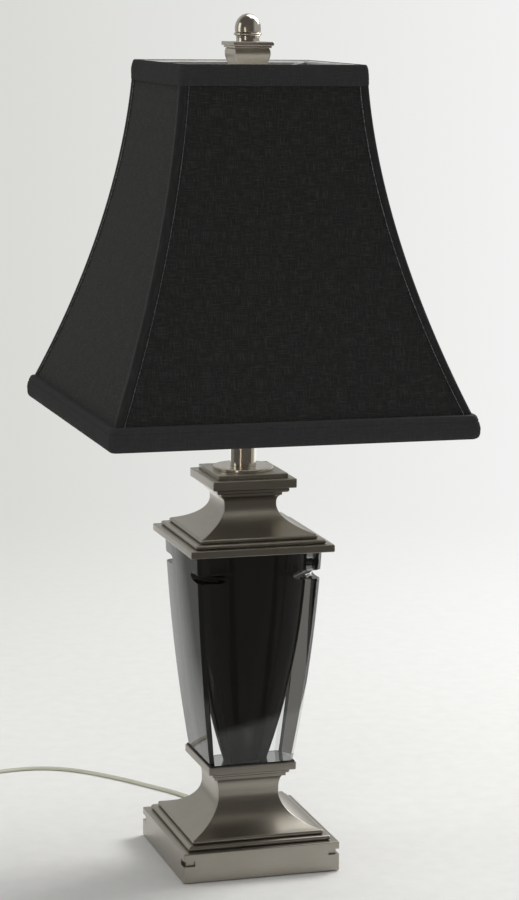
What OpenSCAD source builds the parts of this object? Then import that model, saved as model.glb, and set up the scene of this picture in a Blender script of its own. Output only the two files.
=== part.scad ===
// Square table lamp: a stepped metal foot, a tapered crystal block round a black core,
// a stepped metal cap, and a square bell shade that hangs on a harp.
// Z is up, the front faces -Y, and the origin is the middle of the foot's underside.

/* [Foot] */
// Width of the square plinth
plinth_w = 140; // [130:1:170]
// Height of the plinth's top above the table
plinth_h = 26.5; // [25:0.5:32]
// Height of the whole foot above the table
foot_h = 92; // [90:0.5:110]
// Width of the foot's neck where it is narrowest
foot_neck_w = 54.6; // [48:0.2:60]
// Height of the foot's narrowest place above the table
foot_neck_z = 63; // [58:0.5:70]
// Width of the collar that carries the crystal
collar_w = 78.6; // [76:0.2:90]
// Thickness of the collar's slab
collar_t = 7; // [5:0.5:9]
// Thickness of the moulding under the collar's slab
collar_bead_t = 4; // [3:0.5:5]
// How far that moulding stands back from the slab
collar_bead_in = 4.4; // [3:0.2:5]
// Height of each of the two steps on the plinth
foot_step_h = 4.2; // [3:0.1:5]
// How far the first step stands back from the plinth
foot_step_in = 6; // [4:0.5:8]
// How far the second step stands back from the first
foot_step_2_in = 5; // [4:0.5:7]
// Gap between the casting's rim and the table
rim_gap = 0.8; // [0.5:0.1:1.5]
// Wall of the hollow plinth
foot_wall_t = 4; // [3.5:0.5:6]
// Length of the notch along each side of a plinth corner
plinth_notch_l = 10; // [6:0.5:14]
// Height of the notch in a plinth corner
plinth_notch_h = 5; // [3:0.5:6]
// Depth of the notch in a plinth corner
plinth_notch_d = 2.5; // [1:0.5:3]
// Height of that notch's lower edge above the table
plinth_notch_z = 15.4; // [12:0.2:17]

/* [Ballast and pads] */
// Thickness of the felt under the foot
felt_t = 2; // [1.6:0.1:3]
// Thickness of the steel cover plate
cover_t = 1.6; // [1:0.1:2]
// Width of the ballast block
ballast_w = 116; // [100:1:120]
// Thickness of the ballast block
ballast_t = 10; // [6:0.5:12]
// Diameter of the hole through the ballast
ballast_bore = 46; // [42:1:50]
// Thickness of the gaskets under and over the crystal
gasket_t = 1; // [0.5:0.1:2]

/* [Crystal] */
// Height of the crystal block
crystal_h = 188.5; // [170:0.5:210]
// Width of the crystal at its top
crystal_top_w = 111; // [108:0.5:118]
// Width of the crystal at its foot
crystal_foot_w = 75.2; // [70:0.2:77]
// Share of the taper that is straight, the rest swells outwards
crystal_straight = 0.45; // [0.35:0.05:0.6]
// Length that is ground off each side of a vertical corner
crystal_bevel = 3.5; // [3:0.5:8]
// Length of the cut across a corner, along each side
crystal_cut_l = 25; // [15:0.5:26]
// Height of the cut across a corner
crystal_cut_h = 7.5; // [4:0.5:10]
// Distance from the crystal's top to the cut's upper edge
crystal_cut_down = 16; // [10:0.5:30]
// Radius of the black core at its foot
core_foot_r = 19.5; // [16:0.5:26]
// Radius of the black core at its top
core_top_r = 51.5; // [44:0.5:52]
// Wall of the black core
core_wall_t = 4; // [2:0.5:6]

/* [Cap] */
// Width of the cap's lowest slab
cap_w = 127.2; // [120:0.2:140]
// Height of the cap casting
cap_h = 64; // [62:0.5:76]
// Thickness of the cap's lowest slab
cap_slab_t = 6.2; // [5:0.2:8]
// Height of each of the two steps on the cap
cap_step_h = 3.6; // [3:0.1:4.5]
// How far each step on the cap stands back
cap_step_in = 5.8; // [4:0.2:7]
// Width of the cap's neck where it is narrowest
cap_neck_w = 46.6; // [42:0.2:54]
// Height of the cap's narrowest place above its underside
cap_neck_up = 36.5; // [32:0.5:40]
// Width of the slab at the top of the cap
cap_top_w = 74.4; // [70:0.2:80]
// Thickness of the slab at the top of the cap
cap_top_t = 7.9; // [6:0.1:9]
// Thickness of the moulding under the top slab
cap_bead_t = 4.6; // [3:0.2:6]
// How far that moulding stands back from the top slab
cap_bead_in = 4.9; // [3:0.1:6]
// Width of the raised square on the cap
cap_raise_w = 62.4; // [56:0.2:66]
// Height of the raised square on the cap
cap_raise_t = 4; // [2:0.5:5]

/* [Stem] */
// Outer diameter of the threaded rod
rod_d = 10; // [9.5:0.1:10.5]
// Diameter of the rod's bore
rod_bore = 7; // [6:0.5:7.5]
// Diameter of the polished check ring
check_ring_d = 52; // [44:1:58]
// Thickness of the check ring
check_ring_t = 3; // [2:0.5:4]
// Outer diameter of the neck tube
neck_tube_d = 22.2; // [19:0.1:26]
// Wall of the neck tube
neck_tube_t = 1; // [0.8:0.1:2]
// Length of the neck tube
neck_tube_l = 90.5; // [60:0.5:120]

/* [Harp and socket] */
// Height of the harp from its saddle to its seat
harp_h = 243; // [215:1:270]
// Diameter of the harp's wire
harp_wire_d = 3.2; // [2.8:0.1:4]
// Half of the distance between the harp's legs
harp_leg_x = 28; // [26:0.5:32]
// Half of the harp's width where it is widest
harp_half_w = 52; // [46:0.5:56]
// Length of each ferrule
ferrule_l = 12; // [10:0.5:14]
// Outer diameter of each ferrule
ferrule_d = 6.4; // [5.5:0.1:8]
// How far a ferrule lifts
ferrule_travel = 12; // [8:0.5:12]
// Outer diameter of the socket's cap
socket_d = 34.8; // [34:0.2:38]
// Length of the socket's shell
socket_shell_l = 43; // [41:0.5:48]
// Diameter of the bulb's screw base
screw_d = 26.1; // [25.8:0.1:26.4]
// Diameter of the switch knob
knob_d = 11; // [9:0.5:14]
// Length of the switch knob
knob_l = 14; // [10:0.5:18]
// Diameter of the switch shaft
shaft_d = 5; // [4:0.5:6]

/* [Bulb] */
// Largest diameter of the bulb's glass
bulb_d = 60; // [50:1:64]
// Length of the bulb from its contact to its crown
bulb_l = 108; // [100:1:114]
// Thickness of the bulb's glass
bulb_wall_t = 0.8; // [0.6:0.1:1.2]

/* [Shade] */
// Width of the shade's fabric at its top
shade_top_w = 156.8; // [140:0.2:180]
// Width of the shade's fabric where its foot band starts
shade_foot_w = 300.4; // [280:0.2:330]
// Height of the shade
shade_h = 302.6; // [280:0.2:320]
// How far the shade's top rim stands above the harp's seat
shade_rise = 9.3; // [7:0.1:12]
// Share of the shade's flare that is straight
shade_straight = 0.16; // [0.05:0.01:0.4]
// Power of the curved share of the shade's flare
shade_power = 1.82; // [1.6:0.02:2.2]
// Thickness of the outer fabric on its backing
fabric_t = 1; // [0.6:0.1:1.5]
// Height of the padded band round the foot of the shade
foot_trim_h = 20; // [14:0.5:26]
// Thickness of that band where it is fullest
foot_trim_t = 6; // [3:0.2:8]
// Height of the band round the top of the shade
top_trim_h = 17.5; // [12:0.5:24]
// Thickness of that band where it is fullest
top_trim_t = 2; // [1.2:0.1:4]
// Thickness of the corner trims
corner_trim_t = 1.2; // [0.8:0.1:2]
// Width of the corner trim on each side of a corner
corner_trim_w = 7; // [4:0.5:10]
// Diameter of the shade's ring wires
ring_wire_d = 3; // [2.5:0.1:4]
// Thickness of the lining
lining_t = 0.8; // [0.5:0.1:1.2]

/* [Finial] */
// Width of the finial's square flange
finial_w = 36; // [30:0.5:38]
// Thickness of the finial's square flange
finial_flange_t = 3.2; // [2:0.2:5]
// Height of the finial's square cup with its flange
finial_cup_h = 24.1; // [22:0.1:30]
// Width of the cup where it swells most
finial_cup_w = 31.5; // [27:0.5:32]
// Width of the cup at its underside
finial_cup_foot_w = 23; // [22:0.5:27]
// Diameter of the finial's dome
dome_d = 22; // [18:0.5:24]
// Height of the finial's dome
dome_h = 15.8; // [12:0.2:20]
// Diameter of the bead under the dome
bead_d = 23.8; // [22:0.2:28]
// Diameter of the stud that the finial screws onto
stud_d = 6.2; // [5.8:0.1:6.6]

/* [Cord] */
// Width of the flat twin cord
cord_w = 5.2; // [4.8:0.1:5.4]
// Thickness of the flat twin cord
cord_h = 2.8; // [2.4:0.1:3]
// Height of the cord's exit above the table
cord_exit_z = 11; // [10.5:0.1:12]
// Length of the strain relief outside the foot
relief_l = 22; // [20:0.5:40]
// Diameter of the strain relief where it leaves the foot
relief_d = 10; // [9:0.2:12]
// Length of the plug's body
plug_l = 28; // [24:0.5:36]
// Width of the plug's body
plug_w = 21; // [18:0.5:26]
// Length of the plug's blades
blade_l = 17; // [15:0.5:18]

/* [Hidden] */
$fn = 64;

// Fits: radial clearance of a turning fit, of a loose hole, and the gap between stacked pieces
turn_fit = 0.05;
loose_fit = 0.2;
seat_gap = 0.3;
// Eased edge on the castings
ease = 0.6;
// Share of a quarter ellipse in each casting's hollow sweep, and the small cove over its neck
foot_sweep_a = 70;
cap_sweep_a = 60;
cove_out = 1.3;
cove_h = 2.7;

// Heights of the stack, from the table up
plinth_half = plinth_w / 2;
cover_z = felt_t;
ballast_z = cover_z + cover_t;
ledge_w = 3;
cover_half = plinth_half - foot_wall_t;
cavity_half = cover_half - ledge_w;
cavity_roof_t = 5;
cavity_top_z = plinth_h - cavity_roof_t;
well_r = 20;
well_top_z = foot_h - collar_t - 5;
washer_t = 2;
washer_d = 2 * (well_r - 3);
lock_washer_t = 1.6;
lock_washer_d = 18;
nut_t = 5;
nut_w = 16;
nut_z = well_top_z - washer_t - lock_washer_t - nut_t;
rod_foot_z = nut_z - 5;
crystal_z = foot_h + gasket_t;
crystal_top_z = crystal_z + crystal_h;
cap_z = crystal_top_z + gasket_t;
cap_top_z = cap_z + cap_h;
tube_z = cap_top_z + check_ring_t;
saddle_z = tube_z + neck_tube_l;
saddle_t = 2;
socket_z = saddle_z + saddle_t;
socket_hub_h = 7;
rod_top_z = socket_z + socket_hub_h + 1;

// Lead wires: the diameter of each and the distance between their middles
wire_d = 2.1;
wire_gap = 2.6;

// Levels of the crystal's and the core's outline
crystal_steps = 14;

// Harp
saddle_w = 14;
saddle_post_h = 8;
saddle_pin_h = 10;
harp_post_z = saddle_z + saddle_post_h;
harp_foot_z = harp_post_z + saddle_pin_h;
harp_seat_z = saddle_z + harp_h;
harp_seat_t = 1.6;
harp_hub_w = 11;
harp_hub_t = 6;
harp_hub_z = harp_seat_z - harp_hub_t;
harp_top_z = harp_hub_z + harp_hub_t / 2;
harp_leg_top_z = harp_post_z + seat_gap + ferrule_l + ferrule_travel + 2;
harp_bow_r = (harp_half_w - harp_leg_x) / 2;
harp_side_z = harp_leg_top_z + 2 * harp_bow_r;
harp_crown_r = 42;
harp_crown_z = harp_top_z - harp_crown_r;
seat_top_z = harp_seat_z + harp_seat_t;

// Socket and bulb
socket_r = socket_d / 2;
socket_wall_t = 1;
shell_r = socket_r - socket_wall_t - loose_fit;
shell_wall_t = 0.8;
liner_r = shell_r - shell_wall_t - loose_fit;
liner_t = 0.8;
block_r = liner_r - liner_t - loose_fit;
socket_skirt_h = 18;
shell_z = socket_z + 15;
block_z = socket_z + 12.4;
block_h = 21.6;
screw_z = block_z + block_h;
screw_bore_r = screw_d / 2 + turn_fit;
screw_wall_t = 0.5;
screw_shell_h = 20;
contact_t = 2;
bulb_z = screw_z + contact_t + seat_gap;
bulb_tip_h = 2;
bulb_base_h = 24;
bulb_base_top_z = bulb_z + bulb_base_h;
bulb_r = bulb_d / 2;
bulb_crown_z = bulb_z + bulb_l;
bulb_mid_z = bulb_crown_z - bulb_r;
shaft_gap = 0.6;
knob_axis_z = socket_z + socket_skirt_h + shaft_d / 2 + shaft_gap + loose_fit;

// Shade
spider_t = 2;
spider_z = seat_top_z + seat_gap;
shade_top_z = harp_seat_z + shade_rise + 2;
shade_foot_z = shade_top_z - shade_h;
shade_band_z = shade_foot_z + foot_trim_h;
hem_slope = 0.12;
shade_steps = 18;
rib_fit = 0.1;
ring_in = fabric_t + ring_wire_d / 2 + rib_fit;
ring_grid = 0.05;
ring_corner_r = 2.1;
rim_to_ring = 3;
top_ring_z = shade_top_z - rim_to_ring;
foot_ring_z = shade_foot_z + rim_to_ring;
lining_in = fabric_t + ring_wire_d + 0.6;
arm_w = 4;
spider_washer_r = 12;

// Finial
finial_z = spider_z + spider_t + seat_gap;
finial_flange_z = finial_z + finial_cup_h - finial_flange_t;
finial_cup_top_z = finial_z + finial_cup_h;
finial_neck_h = 4.7;
bead_z = finial_cup_top_z + finial_neck_h;
bead_h = 2.8;
dome_z = bead_z + bead_h;
stem_r = 5;
stem_l = 5;
stud_top_z = finial_z + 14;

// Cord: a route over the table behind the lamp, then a coil of two layers that lies beyond it.
coil_x = -224;
coil_y = 234;
coil_inner_r = 21;
coil_pitch = 5.75;
coil_turns = 3.375;
coil_open_turn = 0.6;
coil_start_a = 102;
coil_layer_h = 3.8;
coil_rings = 24;
coil_tail_l = 28;
relief_end_y = plinth_half + relief_l;
cord_z = cord_h / 2;
route = [[0, relief_end_y, cord_exit_z], [0, relief_end_y + 6, cord_exit_z], [0, 110, 9.4],
    [1, 122, 6.2], [2, 134, 3.2], [2, 146, 1.8], [0, 160, cord_z], [-6, 174, cord_z],
    [-14, 188, cord_z], [-23, 201, cord_z], [-32, 214, cord_z], [-41, 227, cord_z],
    [-51, 240, cord_z], [-61, 252, cord_z], [-72, 264, cord_z], [-84, 275, cord_z],
    [-97, 284, cord_z], [-111, 290, cord_z], [-126, 293, cord_z], [-141, 293, cord_z],
    [-156, 291, cord_z], [-171, 288.4, cord_z], [-185, 285.6, cord_z]];
coil_points = coil_line();
coil_end = coil_points[len(coil_points) - 1];
plug_turn_a = coil_start_a + 90 + 360 * (2 * coil_turns + 0.5);
plug_h = 2 * (cord_z + coil_layer_h);
run_end_l = 12;

// Colours
nickel = [0.48, 0.45, 0.41];
polished = [0.62, 0.59, 0.54];
brass = [0.72, 0.58, 0.32];
black = [0.11, 0.11, 0.12];
clear = [0.82, 0.88, 0.9, 0.5];
fabric = [0.14, 0.14, 0.14];
white = [0.9, 0.9, 0.88];
steel = [0.6, 0.6, 0.62];

// Points on a circle about c from one angle to another
function arc(c, r, from, to, n = 4) =
    [for (i = [0:n]) let (a = from + (to - from) * i / n) [c[0] + r * cos(a), c[1] + r * sin(a)]];

// Half-round edge of a step, from its lower edge to its upper edge
function nose(half, z0, z1) = arc([half - (z1 - z0) / 2, (z0 + z1) / 2], (z1 - z0) / 2, -90, 90);

// Square-edged slab with eased edges
function slab(half, z0, z1) =
    [[half - ease, z0], [half, z0 + ease], [half, z1 - ease], [half - ease, z1]];

// Hollow sweep from a wide foot up to the neck, a piece of an ellipse that ends upright
function scotia(neck, foot, z_foot, z_neck, sweep) =
    let (a = (foot - neck) / (1 - cos(sweep)), b = (z_neck - z_foot) / sin(sweep))
    [for (i = [0:10]) let (f = sweep * (1 - i / 10)) [neck + a * (1 - cos(f)), z_neck - b * sin(f)]];

// Half widths of the crystal, the core and the shade at a height
function crystal_half(z) =
    let (u = (crystal_top_z - z) / crystal_h)
    (crystal_top_w - (crystal_top_w - crystal_foot_w)
        * (crystal_straight * u + (1 - crystal_straight) * u * u)) / 2;
function core_r(z) =
    let (u = (crystal_top_z - z) / crystal_h)
    core_top_r - (core_top_r - core_foot_r) * (0.06 * u + 0.94 * u * u);
function shade_half(z) =
    let (t = (shade_top_z - z) / (shade_top_z - shade_band_z))
    t > 1 ? shade_foot_w / 2 + hem_slope * (shade_band_z - z)
        : (shade_top_w + (shade_foot_w - shade_top_w)
            * (shade_straight * t + (1 - shade_straight) * pow(max(t, 0), shade_power))) / 2;

// Heights at which the shade's outline bends: straight behind its bands, even steps between them
shade_trim_z = shade_top_z - top_trim_h;
shade_levels = concat([shade_foot_z], [for (i = [0:shade_steps])
    shade_band_z + (shade_trim_z - shade_band_z) * i / shade_steps], [shade_top_z]);

// Shade outline between two heights, moved out by a distance, with the bends that lie between
function shade_points(z0, z1, out) =
    [for (z = concat([z0], [for (l = shade_levels) if (l > z0 + ease && l < z1 - ease) l], [z1]))
        [shade_half(z) + out, z]];

function reversed(list) = [for (i = [len(list) - 1:-1:0]) list[i]];
function flipped(points) = [for (p = reversed(points)) [-p[0], p[1]]];

// Flat outline carried along Y or along X, centred
module across_y(depth) {
    rotate([90, 0, 0])
        linear_extrude(height = depth, center = true)
            children();
}

module across_x(depth) {
    rotate([90, 0, 90])
        linear_extrude(height = depth, center = true)
            children();
}

// Solid of square plan whose half width follows the points, listed from its foot up
module square_solid(points, span = 400) {
    intersection() {
        across_y(span) polygon(concat(points, flipped(points)));
        across_x(span) polygon(concat(points, flipped(points)));
    }
}

// Square block between two heights
module square_block(half, z0, z1) {
    translate([-half, -half, z0])
        cube([2 * half, 2 * half, z1 - z0]);
}

module ring(outer_r, inner_r, z0, z1) {
    translate([0, 0, z0])
        difference() {
            cylinder(r = outer_r, h = z1 - z0);
            translate([0, 0, -1]) cylinder(r = inner_r, h = z1 - z0 + 2);
        }
}

module bore(r, z0, z1) {
    translate([0, 0, z0]) cylinder(r = r, h = z1 - z0);
}

// Foot group
module felt_pad() {
    color([0.1, 0.16, 0.12])
        square_block(cover_half - loose_fit, 0, felt_t);
}

module cover_plate() {
    color(steel)
        square_block(cover_half - loose_fit, cover_z, ballast_z);
}

module ballast_weight() {
    color([0.25, 0.25, 0.26])
        difference() {
            square_block(ballast_w / 2, ballast_z, ballast_z + ballast_t);
            bore(ballast_bore / 2, ballast_z - 1, ballast_z + ballast_t + 1);
            // channel for the lead wires
            translate([-7, 0, ballast_z - 1])
                cube([14, ballast_w, ballast_t + 2]);
        }
}

function foot_points() =
    let (
        step_1 = plinth_half - foot_step_in,
        step_2 = step_1 - foot_step_2_in,
        z1 = plinth_h + foot_step_h,
        z2 = z1 + foot_step_h,
        collar = collar_w / 2,
        bead = collar - collar_bead_in,
        slab_z = foot_h - collar_t,
        bead_z = slab_z - collar_bead_t,
        neck = foot_neck_w / 2,
        cove = neck + cove_out,
        cove_z = bead_z - cove_h
    )
    concat(slab(plinth_half, rim_gap, plinth_h), nose(step_1, plinth_h, z1), nose(step_2, z1, z2),
        scotia(neck, step_2 - 2.5, z2, foot_neck_z, foot_sweep_a),
        [[cove, cove_z - 4], [cove + 1.8, cove_z], [(cove + bead) / 2 + 0.6, cove_z],
            [(cove + bead) / 2 + 0.6, bead_z]],
        nose(bead, bead_z, slab_z), slab(collar, slab_z, foot_h));

// Notch that wraps round one corner of the plinth
module plinth_notch() {
    translate([plinth_half - plinth_notch_l, plinth_half - plinth_notch_l, plinth_notch_z])
        difference() {
            cube([plinth_notch_l + 1, plinth_notch_l + 1, plinth_notch_h]);
            translate([-1, -1, -1])
                cube([plinth_notch_l - plinth_notch_d + 1, plinth_notch_l - plinth_notch_d + 1,
                    plinth_notch_h + 2]);
        }
}

module foot_casting() {
    step_half = plinth_half - foot_step_in - foot_step_2_in;
    step_roof_z = plinth_h + 2 * foot_step_h - cavity_roof_t;
    color(nickel)
        difference() {
            square_solid(foot_points());
            square_block(cover_half, 0, ballast_z);
            square_block(cavity_half, ballast_z - 1, cavity_top_z);
            square_block(step_half - cavity_roof_t, cavity_top_z - 1, step_roof_z);
            square_block(foot_neck_w / 2 + cavity_roof_t, step_roof_z - 1, step_roof_z + cavity_roof_t);
            bore(well_r, step_roof_z, well_top_z);
            bore(rod_d / 2 + loose_fit, well_top_z - 1, foot_h + 1);
            for (a = [0:90:270]) rotate([0, 0, a]) plinth_notch();
            translate([0, cavity_half - 1, cord_exit_z])
                rotate([-90, 0, 0])
                    cylinder(d = relief_d + 2 * turn_fit, h = ledge_w + foot_wall_t + 2);
        }
}

module cord_bushing() {
    inner_flange_t = 2;
    outer_flange_t = 2;
    color([0.2, 0.2, 0.2])
        translate([0, cavity_half, cord_exit_z])
            rotate([-90, 0, 0])
                difference() {
                    union() {
                        translate([0, 0, -inner_flange_t])
                            cylinder(d = relief_d + 3, h = inner_flange_t);
                        cylinder(d = relief_d, h = plinth_half - cavity_half);
                        translate([0, 0, plinth_half - cavity_half])
                            cylinder(d = relief_d + 3, h = outer_flange_t);
                        translate([0, 0, plinth_half - cavity_half + outer_flange_t])
                            cylinder(d1 = relief_d, d2 = cord_w + 1.6, h = relief_l - outer_flange_t);
                    }
                    translate([0, 0, -inner_flange_t - 1])
                        linear_extrude(height = 100) {
                            square([wire_gap, wire_d + 0.2], center = true);
                            for (s = [-1, 1]) translate([s * wire_gap / 2, 0])
                                circle(d = wire_d + 0.2);
                        }
                }
}

// Spine
module threaded_rod() {
    color(steel)
        ring(rod_d / 2, rod_bore / 2, rod_foot_z, rod_top_z);
}

module bottom_washer() {
    color(steel)
        ring(washer_d / 2, rod_d / 2 + loose_fit, well_top_z - washer_t, well_top_z);
}

module lock_washer() {
    color(steel)
        ring(lock_washer_d / 2, rod_d / 2 + loose_fit, nut_z + nut_t, well_top_z - washer_t);
}

module bottom_nut() {
    color(brass)
        translate([0, 0, nut_z])
            difference() {
                cylinder(d = nut_w / cos(30), h = nut_t, $fn = 6);
                translate([0, 0, -1]) cylinder(d = rod_d + 2 * turn_fit, h = nut_t + 2);
            }
}

// Two insulated wires from the cord's end, round a bend and up the rod's bore
module lead_wires() {
    bend_r = 12;
    color([0.85, 0.85, 0.8])
        for (s = [-1, 1]) translate([s * wire_gap / 2, 0, 0]) {
            translate([0, bend_r, cord_exit_z])
                rotate([-90, 0, 0])
                    cylinder(d = wire_d, h = relief_end_y - bend_r);
            translate([0, bend_r, cord_exit_z + bend_r])
                rotate([0, -90, 0])
                    rotate([0, 0, 180])
                        rotate_extrude(angle = 90)
                            translate([bend_r, 0]) circle(d = wire_d);
            translate([0, 0, cord_exit_z + bend_r])
                cylinder(d = wire_d, h = block_z - cord_exit_z - bend_r);
        }
}

// Crystal group
module lower_gasket() {
    color(black)
        difference() {
            square_block(crystal_foot_w / 2 + 0.6, foot_h, crystal_z);
            bore(rod_d / 2 + loose_fit, foot_h - 1, crystal_z + 1);
        }
}

// Crystal outline, with each half width scaled and then drawn in
function crystal_points(scale_by, draw_in) =
    [for (i = [0:crystal_steps]) let (z = crystal_z + crystal_h * i / crystal_steps)
        [scale_by * crystal_half(z) - draw_in, z]];

function core_points() =
    [for (i = [0:crystal_steps]) let (z = crystal_z + crystal_h * i / crystal_steps)
        [core_r(z), z]];

// Solid of the core's outline, drawn in by a distance and longer by another at both ends
module core_solid(draw_in, extra) {
    points = [for (p = core_points()) [p[0] - draw_in, p[1]]];
    rotate_extrude()
        polygon(concat([[0, crystal_z - extra], [core_foot_r - draw_in, crystal_z - extra]], points,
            [[core_top_r - draw_in, crystal_top_z + extra], [0, crystal_top_z + extra]]));
}

module crystal_body() {
    cut_z = crystal_top_z - crystal_cut_down - crystal_cut_h;
    cut_half = crystal_half(cut_z + crystal_cut_h / 2);
    cut_x = sqrt(2) * cut_half - crystal_cut_l / sqrt(2);
    cut_r = crystal_cut_h / 2;
    color(clear)
        difference() {
            intersection() {
                square_solid(crystal_points(1, 0));
                rotate([0, 0, 45])
                    square_solid(crystal_points(sqrt(2), crystal_bevel / sqrt(2)));
            }
            core_solid(0, 1);
            // cut with a round bottom across each corner
            for (a = [45:90:315]) rotate([0, 0, a])
                translate([cut_x + cut_r, 0, cut_z + cut_r])
                    rotate([90, 0, 0])
                        linear_extrude(height = 2 * cut_half, center = true) {
                            circle(r = cut_r);
                            translate([0, -cut_r]) square([cut_half, crystal_cut_h]);
                        }
        }
}

module crystal_core() {
    color(black)
        difference() {
            core_solid(0, 0);
            core_solid(core_wall_t, 1);
        }
}

module upper_gasket() {
    color(black)
        difference() {
            square_block(crystal_top_w / 2 - 1, crystal_top_z, cap_z);
            bore(rod_d / 2 + loose_fit, crystal_top_z - 1, cap_z + 1);
        }
}

// Cap group
function cap_points() =
    let (
        low = cap_w / 2,
        step_1 = low - cap_step_in,
        step_2 = step_1 - cap_step_in,
        z0 = cap_z + cap_slab_t,
        z1 = z0 + cap_step_h,
        z2 = z1 + cap_step_h,
        neck = cap_neck_w / 2,
        top = cap_top_w / 2,
        bead = top - cap_bead_in,
        raise_z = cap_top_z - cap_raise_t,
        slab_z = raise_z - cap_top_t,
        bead_z = slab_z - cap_bead_t,
        neck_z = cap_z + cap_neck_up
    )
    concat(slab(low, cap_z, z0), nose(step_1, z0, z1), nose(step_2, z1, z2),
        scotia(neck, step_2 - 1, z2, neck_z, cap_sweep_a),
        [[neck + cove_out, bead_z - 6], [neck + 4, bead_z - cove_h], [neck + 4, bead_z]],
        nose(bead, bead_z, slab_z), slab(top, slab_z, raise_z),
        slab(cap_raise_w / 2, raise_z, cap_top_z));

module cap_casting() {
    rim_w = 5;
    hollow_half = crystal_top_w / 2 - rim_w;
    hollow_h = cap_slab_t + cap_step_h - 1;
    upper_hollow_half = cap_neck_w / 2 + 9;
    upper_hollow_h = hollow_h + 7;
    color(nickel)
        difference() {
            square_solid(cap_points());
            square_block(hollow_half, cap_z - 1, cap_z + hollow_h);
            square_block(upper_hollow_half, cap_z, cap_z + upper_hollow_h);
            bore(rod_d / 2 + loose_fit, cap_z, cap_top_z + 1);
        }
}

module check_ring() {
    edge = 0.5;
    r = check_ring_d / 2;
    color(polished)
        rotate_extrude()
            polygon([[rod_d / 2 + loose_fit, cap_top_z], [r, cap_top_z], [r, tube_z - edge],
                [r - edge, tube_z], [rod_d / 2 + loose_fit, tube_z]]);
}

module neck_tube() {
    color(polished)
        ring(neck_tube_d / 2, neck_tube_d / 2 - neck_tube_t, tube_z, saddle_z);
}

// Harp and its saddle
module harp_saddle() {
    post_t = 2.4;
    post_w = 9;
    color(brass) {
        difference() {
            translate([-harp_leg_x - post_t / 2, -saddle_w / 2, saddle_z])
                cube([2 * harp_leg_x + post_t, saddle_w, saddle_t]);
            bore(rod_d / 2 + loose_fit, saddle_z - 1, socket_z + 1);
        }
        for (s = [-1, 1]) translate([s * harp_leg_x, 0, saddle_z]) {
            translate([-post_t / 2, -post_w / 2, 0])
                cube([post_t, post_w, saddle_post_h]);
            cylinder(d = harp_wire_d, h = saddle_post_h + saddle_pin_h);
        }
    }
}

// Quarter bend of the harp's wire in the XZ plane about c, starting at an angle
module wire_bend(c, r, from) {
    translate([c[0], 0, c[1]])
        rotate([90, 0, 0])
            rotate([0, 0, from])
                rotate_extrude(angle = 90)
                    translate([r, 0]) circle(d = harp_wire_d);
}

// The harp's wire in three lengths on each side: legs with their bends, straight sides, crown
module harp_feet() {
    color(brass)
        for (s = [0, 1]) mirror([s, 0, 0]) {
            translate([harp_leg_x, 0, harp_foot_z])
                cylinder(d = harp_wire_d, h = harp_leg_top_z - harp_foot_z);
            wire_bend([harp_leg_x + harp_bow_r, harp_leg_top_z], harp_bow_r, 90);
            wire_bend([harp_half_w - harp_bow_r, harp_side_z], harp_bow_r, 270);
        }
}

module harp_sides() {
    color(brass)
        for (s = [-1, 1]) translate([s * harp_half_w, 0, harp_side_z])
            cylinder(d = harp_wire_d, h = harp_crown_z - harp_side_z);
}

module harp_crown() {
    color(brass)
        for (s = [0, 1]) mirror([s, 0, 0]) {
            wire_bend([harp_half_w - harp_crown_r, harp_crown_z], harp_crown_r, 0);
            translate([harp_hub_w / 2, 0, harp_top_z])
                rotate([0, 90, 0])
                    cylinder(d = harp_wire_d, h = harp_half_w - harp_crown_r - harp_hub_w / 2);
        }
}

module harp_seat() {
    hub_depth = 8;
    seat_r = 9;
    color(brass) {
        translate([-harp_hub_w / 2, -hub_depth / 2, harp_hub_z])
            cube([harp_hub_w, hub_depth, harp_hub_t]);
        bore(seat_r, harp_seat_z, seat_top_z);
        bore(stud_d / 2, harp_seat_z, stud_top_z);
    }
}

module ferrule(side) {
    color(brass)
        translate([side * harp_leg_x, 0, 0])
            ring(ferrule_d / 2, harp_wire_d / 2 + turn_fit, harp_post_z + seat_gap,
                harp_post_z + seat_gap + ferrule_l);
}

module ferrule_left() {
    ferrule(-1);
}

module ferrule_right() {
    ferrule(1);
}

// Socket
module knob_hole(r) {
    translate([0, 0, knob_axis_z])
        rotate([90, 0, 0])
            cylinder(r = r, h = socket_d);
}

module socket_cap() {
    hub_r = 8;
    hub_bore = rod_d / 2 + loose_fit;
    inner_r = socket_r - socket_wall_t;
    color(brass)
        translate([0, 0, socket_z])
            rotate_extrude()
                polygon([[hub_bore, 0], [hub_r, 0], [hub_r, 4], [11, 6], [socket_r - 2.4, 10],
                    [socket_r, 14], [socket_r, socket_skirt_h], [inner_r, socket_skirt_h],
                    [inner_r, 14.4], [inner_r - 2.2, 10.8], [10.4, socket_hub_h],
                    [hub_bore, socket_hub_h]]);
}

module socket_shell() {
    color(brass)
        difference() {
            ring(shell_r, shell_r - shell_wall_t, shell_z, shell_z + socket_shell_l);
            knob_hole(shaft_d / 2 + shaft_gap);
        }
}

module socket_liner() {
    color(white)
        difference() {
            ring(liner_r, liner_r - liner_t, shell_z + 0.5, shell_z + socket_shell_l - 1);
            knob_hole(shaft_d / 2 + shaft_gap);
        }
}

module switch_block() {
    pit_l = 14;
    color(black)
        difference() {
            bore(block_r, block_z, screw_z);
            translate([0, 0, knob_axis_z])
                rotate([90, 0, 0])
                    cylinder(r = shaft_d / 2 + turn_fit, h = socket_d);
            // pit for the switch's cam
            translate([-4, -pit_l / 2 + 4, knob_axis_z - 5])
                cube([8, pit_l - 4, 10]);
        }
}

module screw_shell() {
    color([0.8, 0.8, 0.8])
        ring(screw_bore_r + screw_wall_t, screw_bore_r, screw_z, screw_z + screw_shell_h);
}

module centre_contact() {
    color(brass)
        bore(3.5, screw_z, screw_z + contact_t);
}

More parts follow.
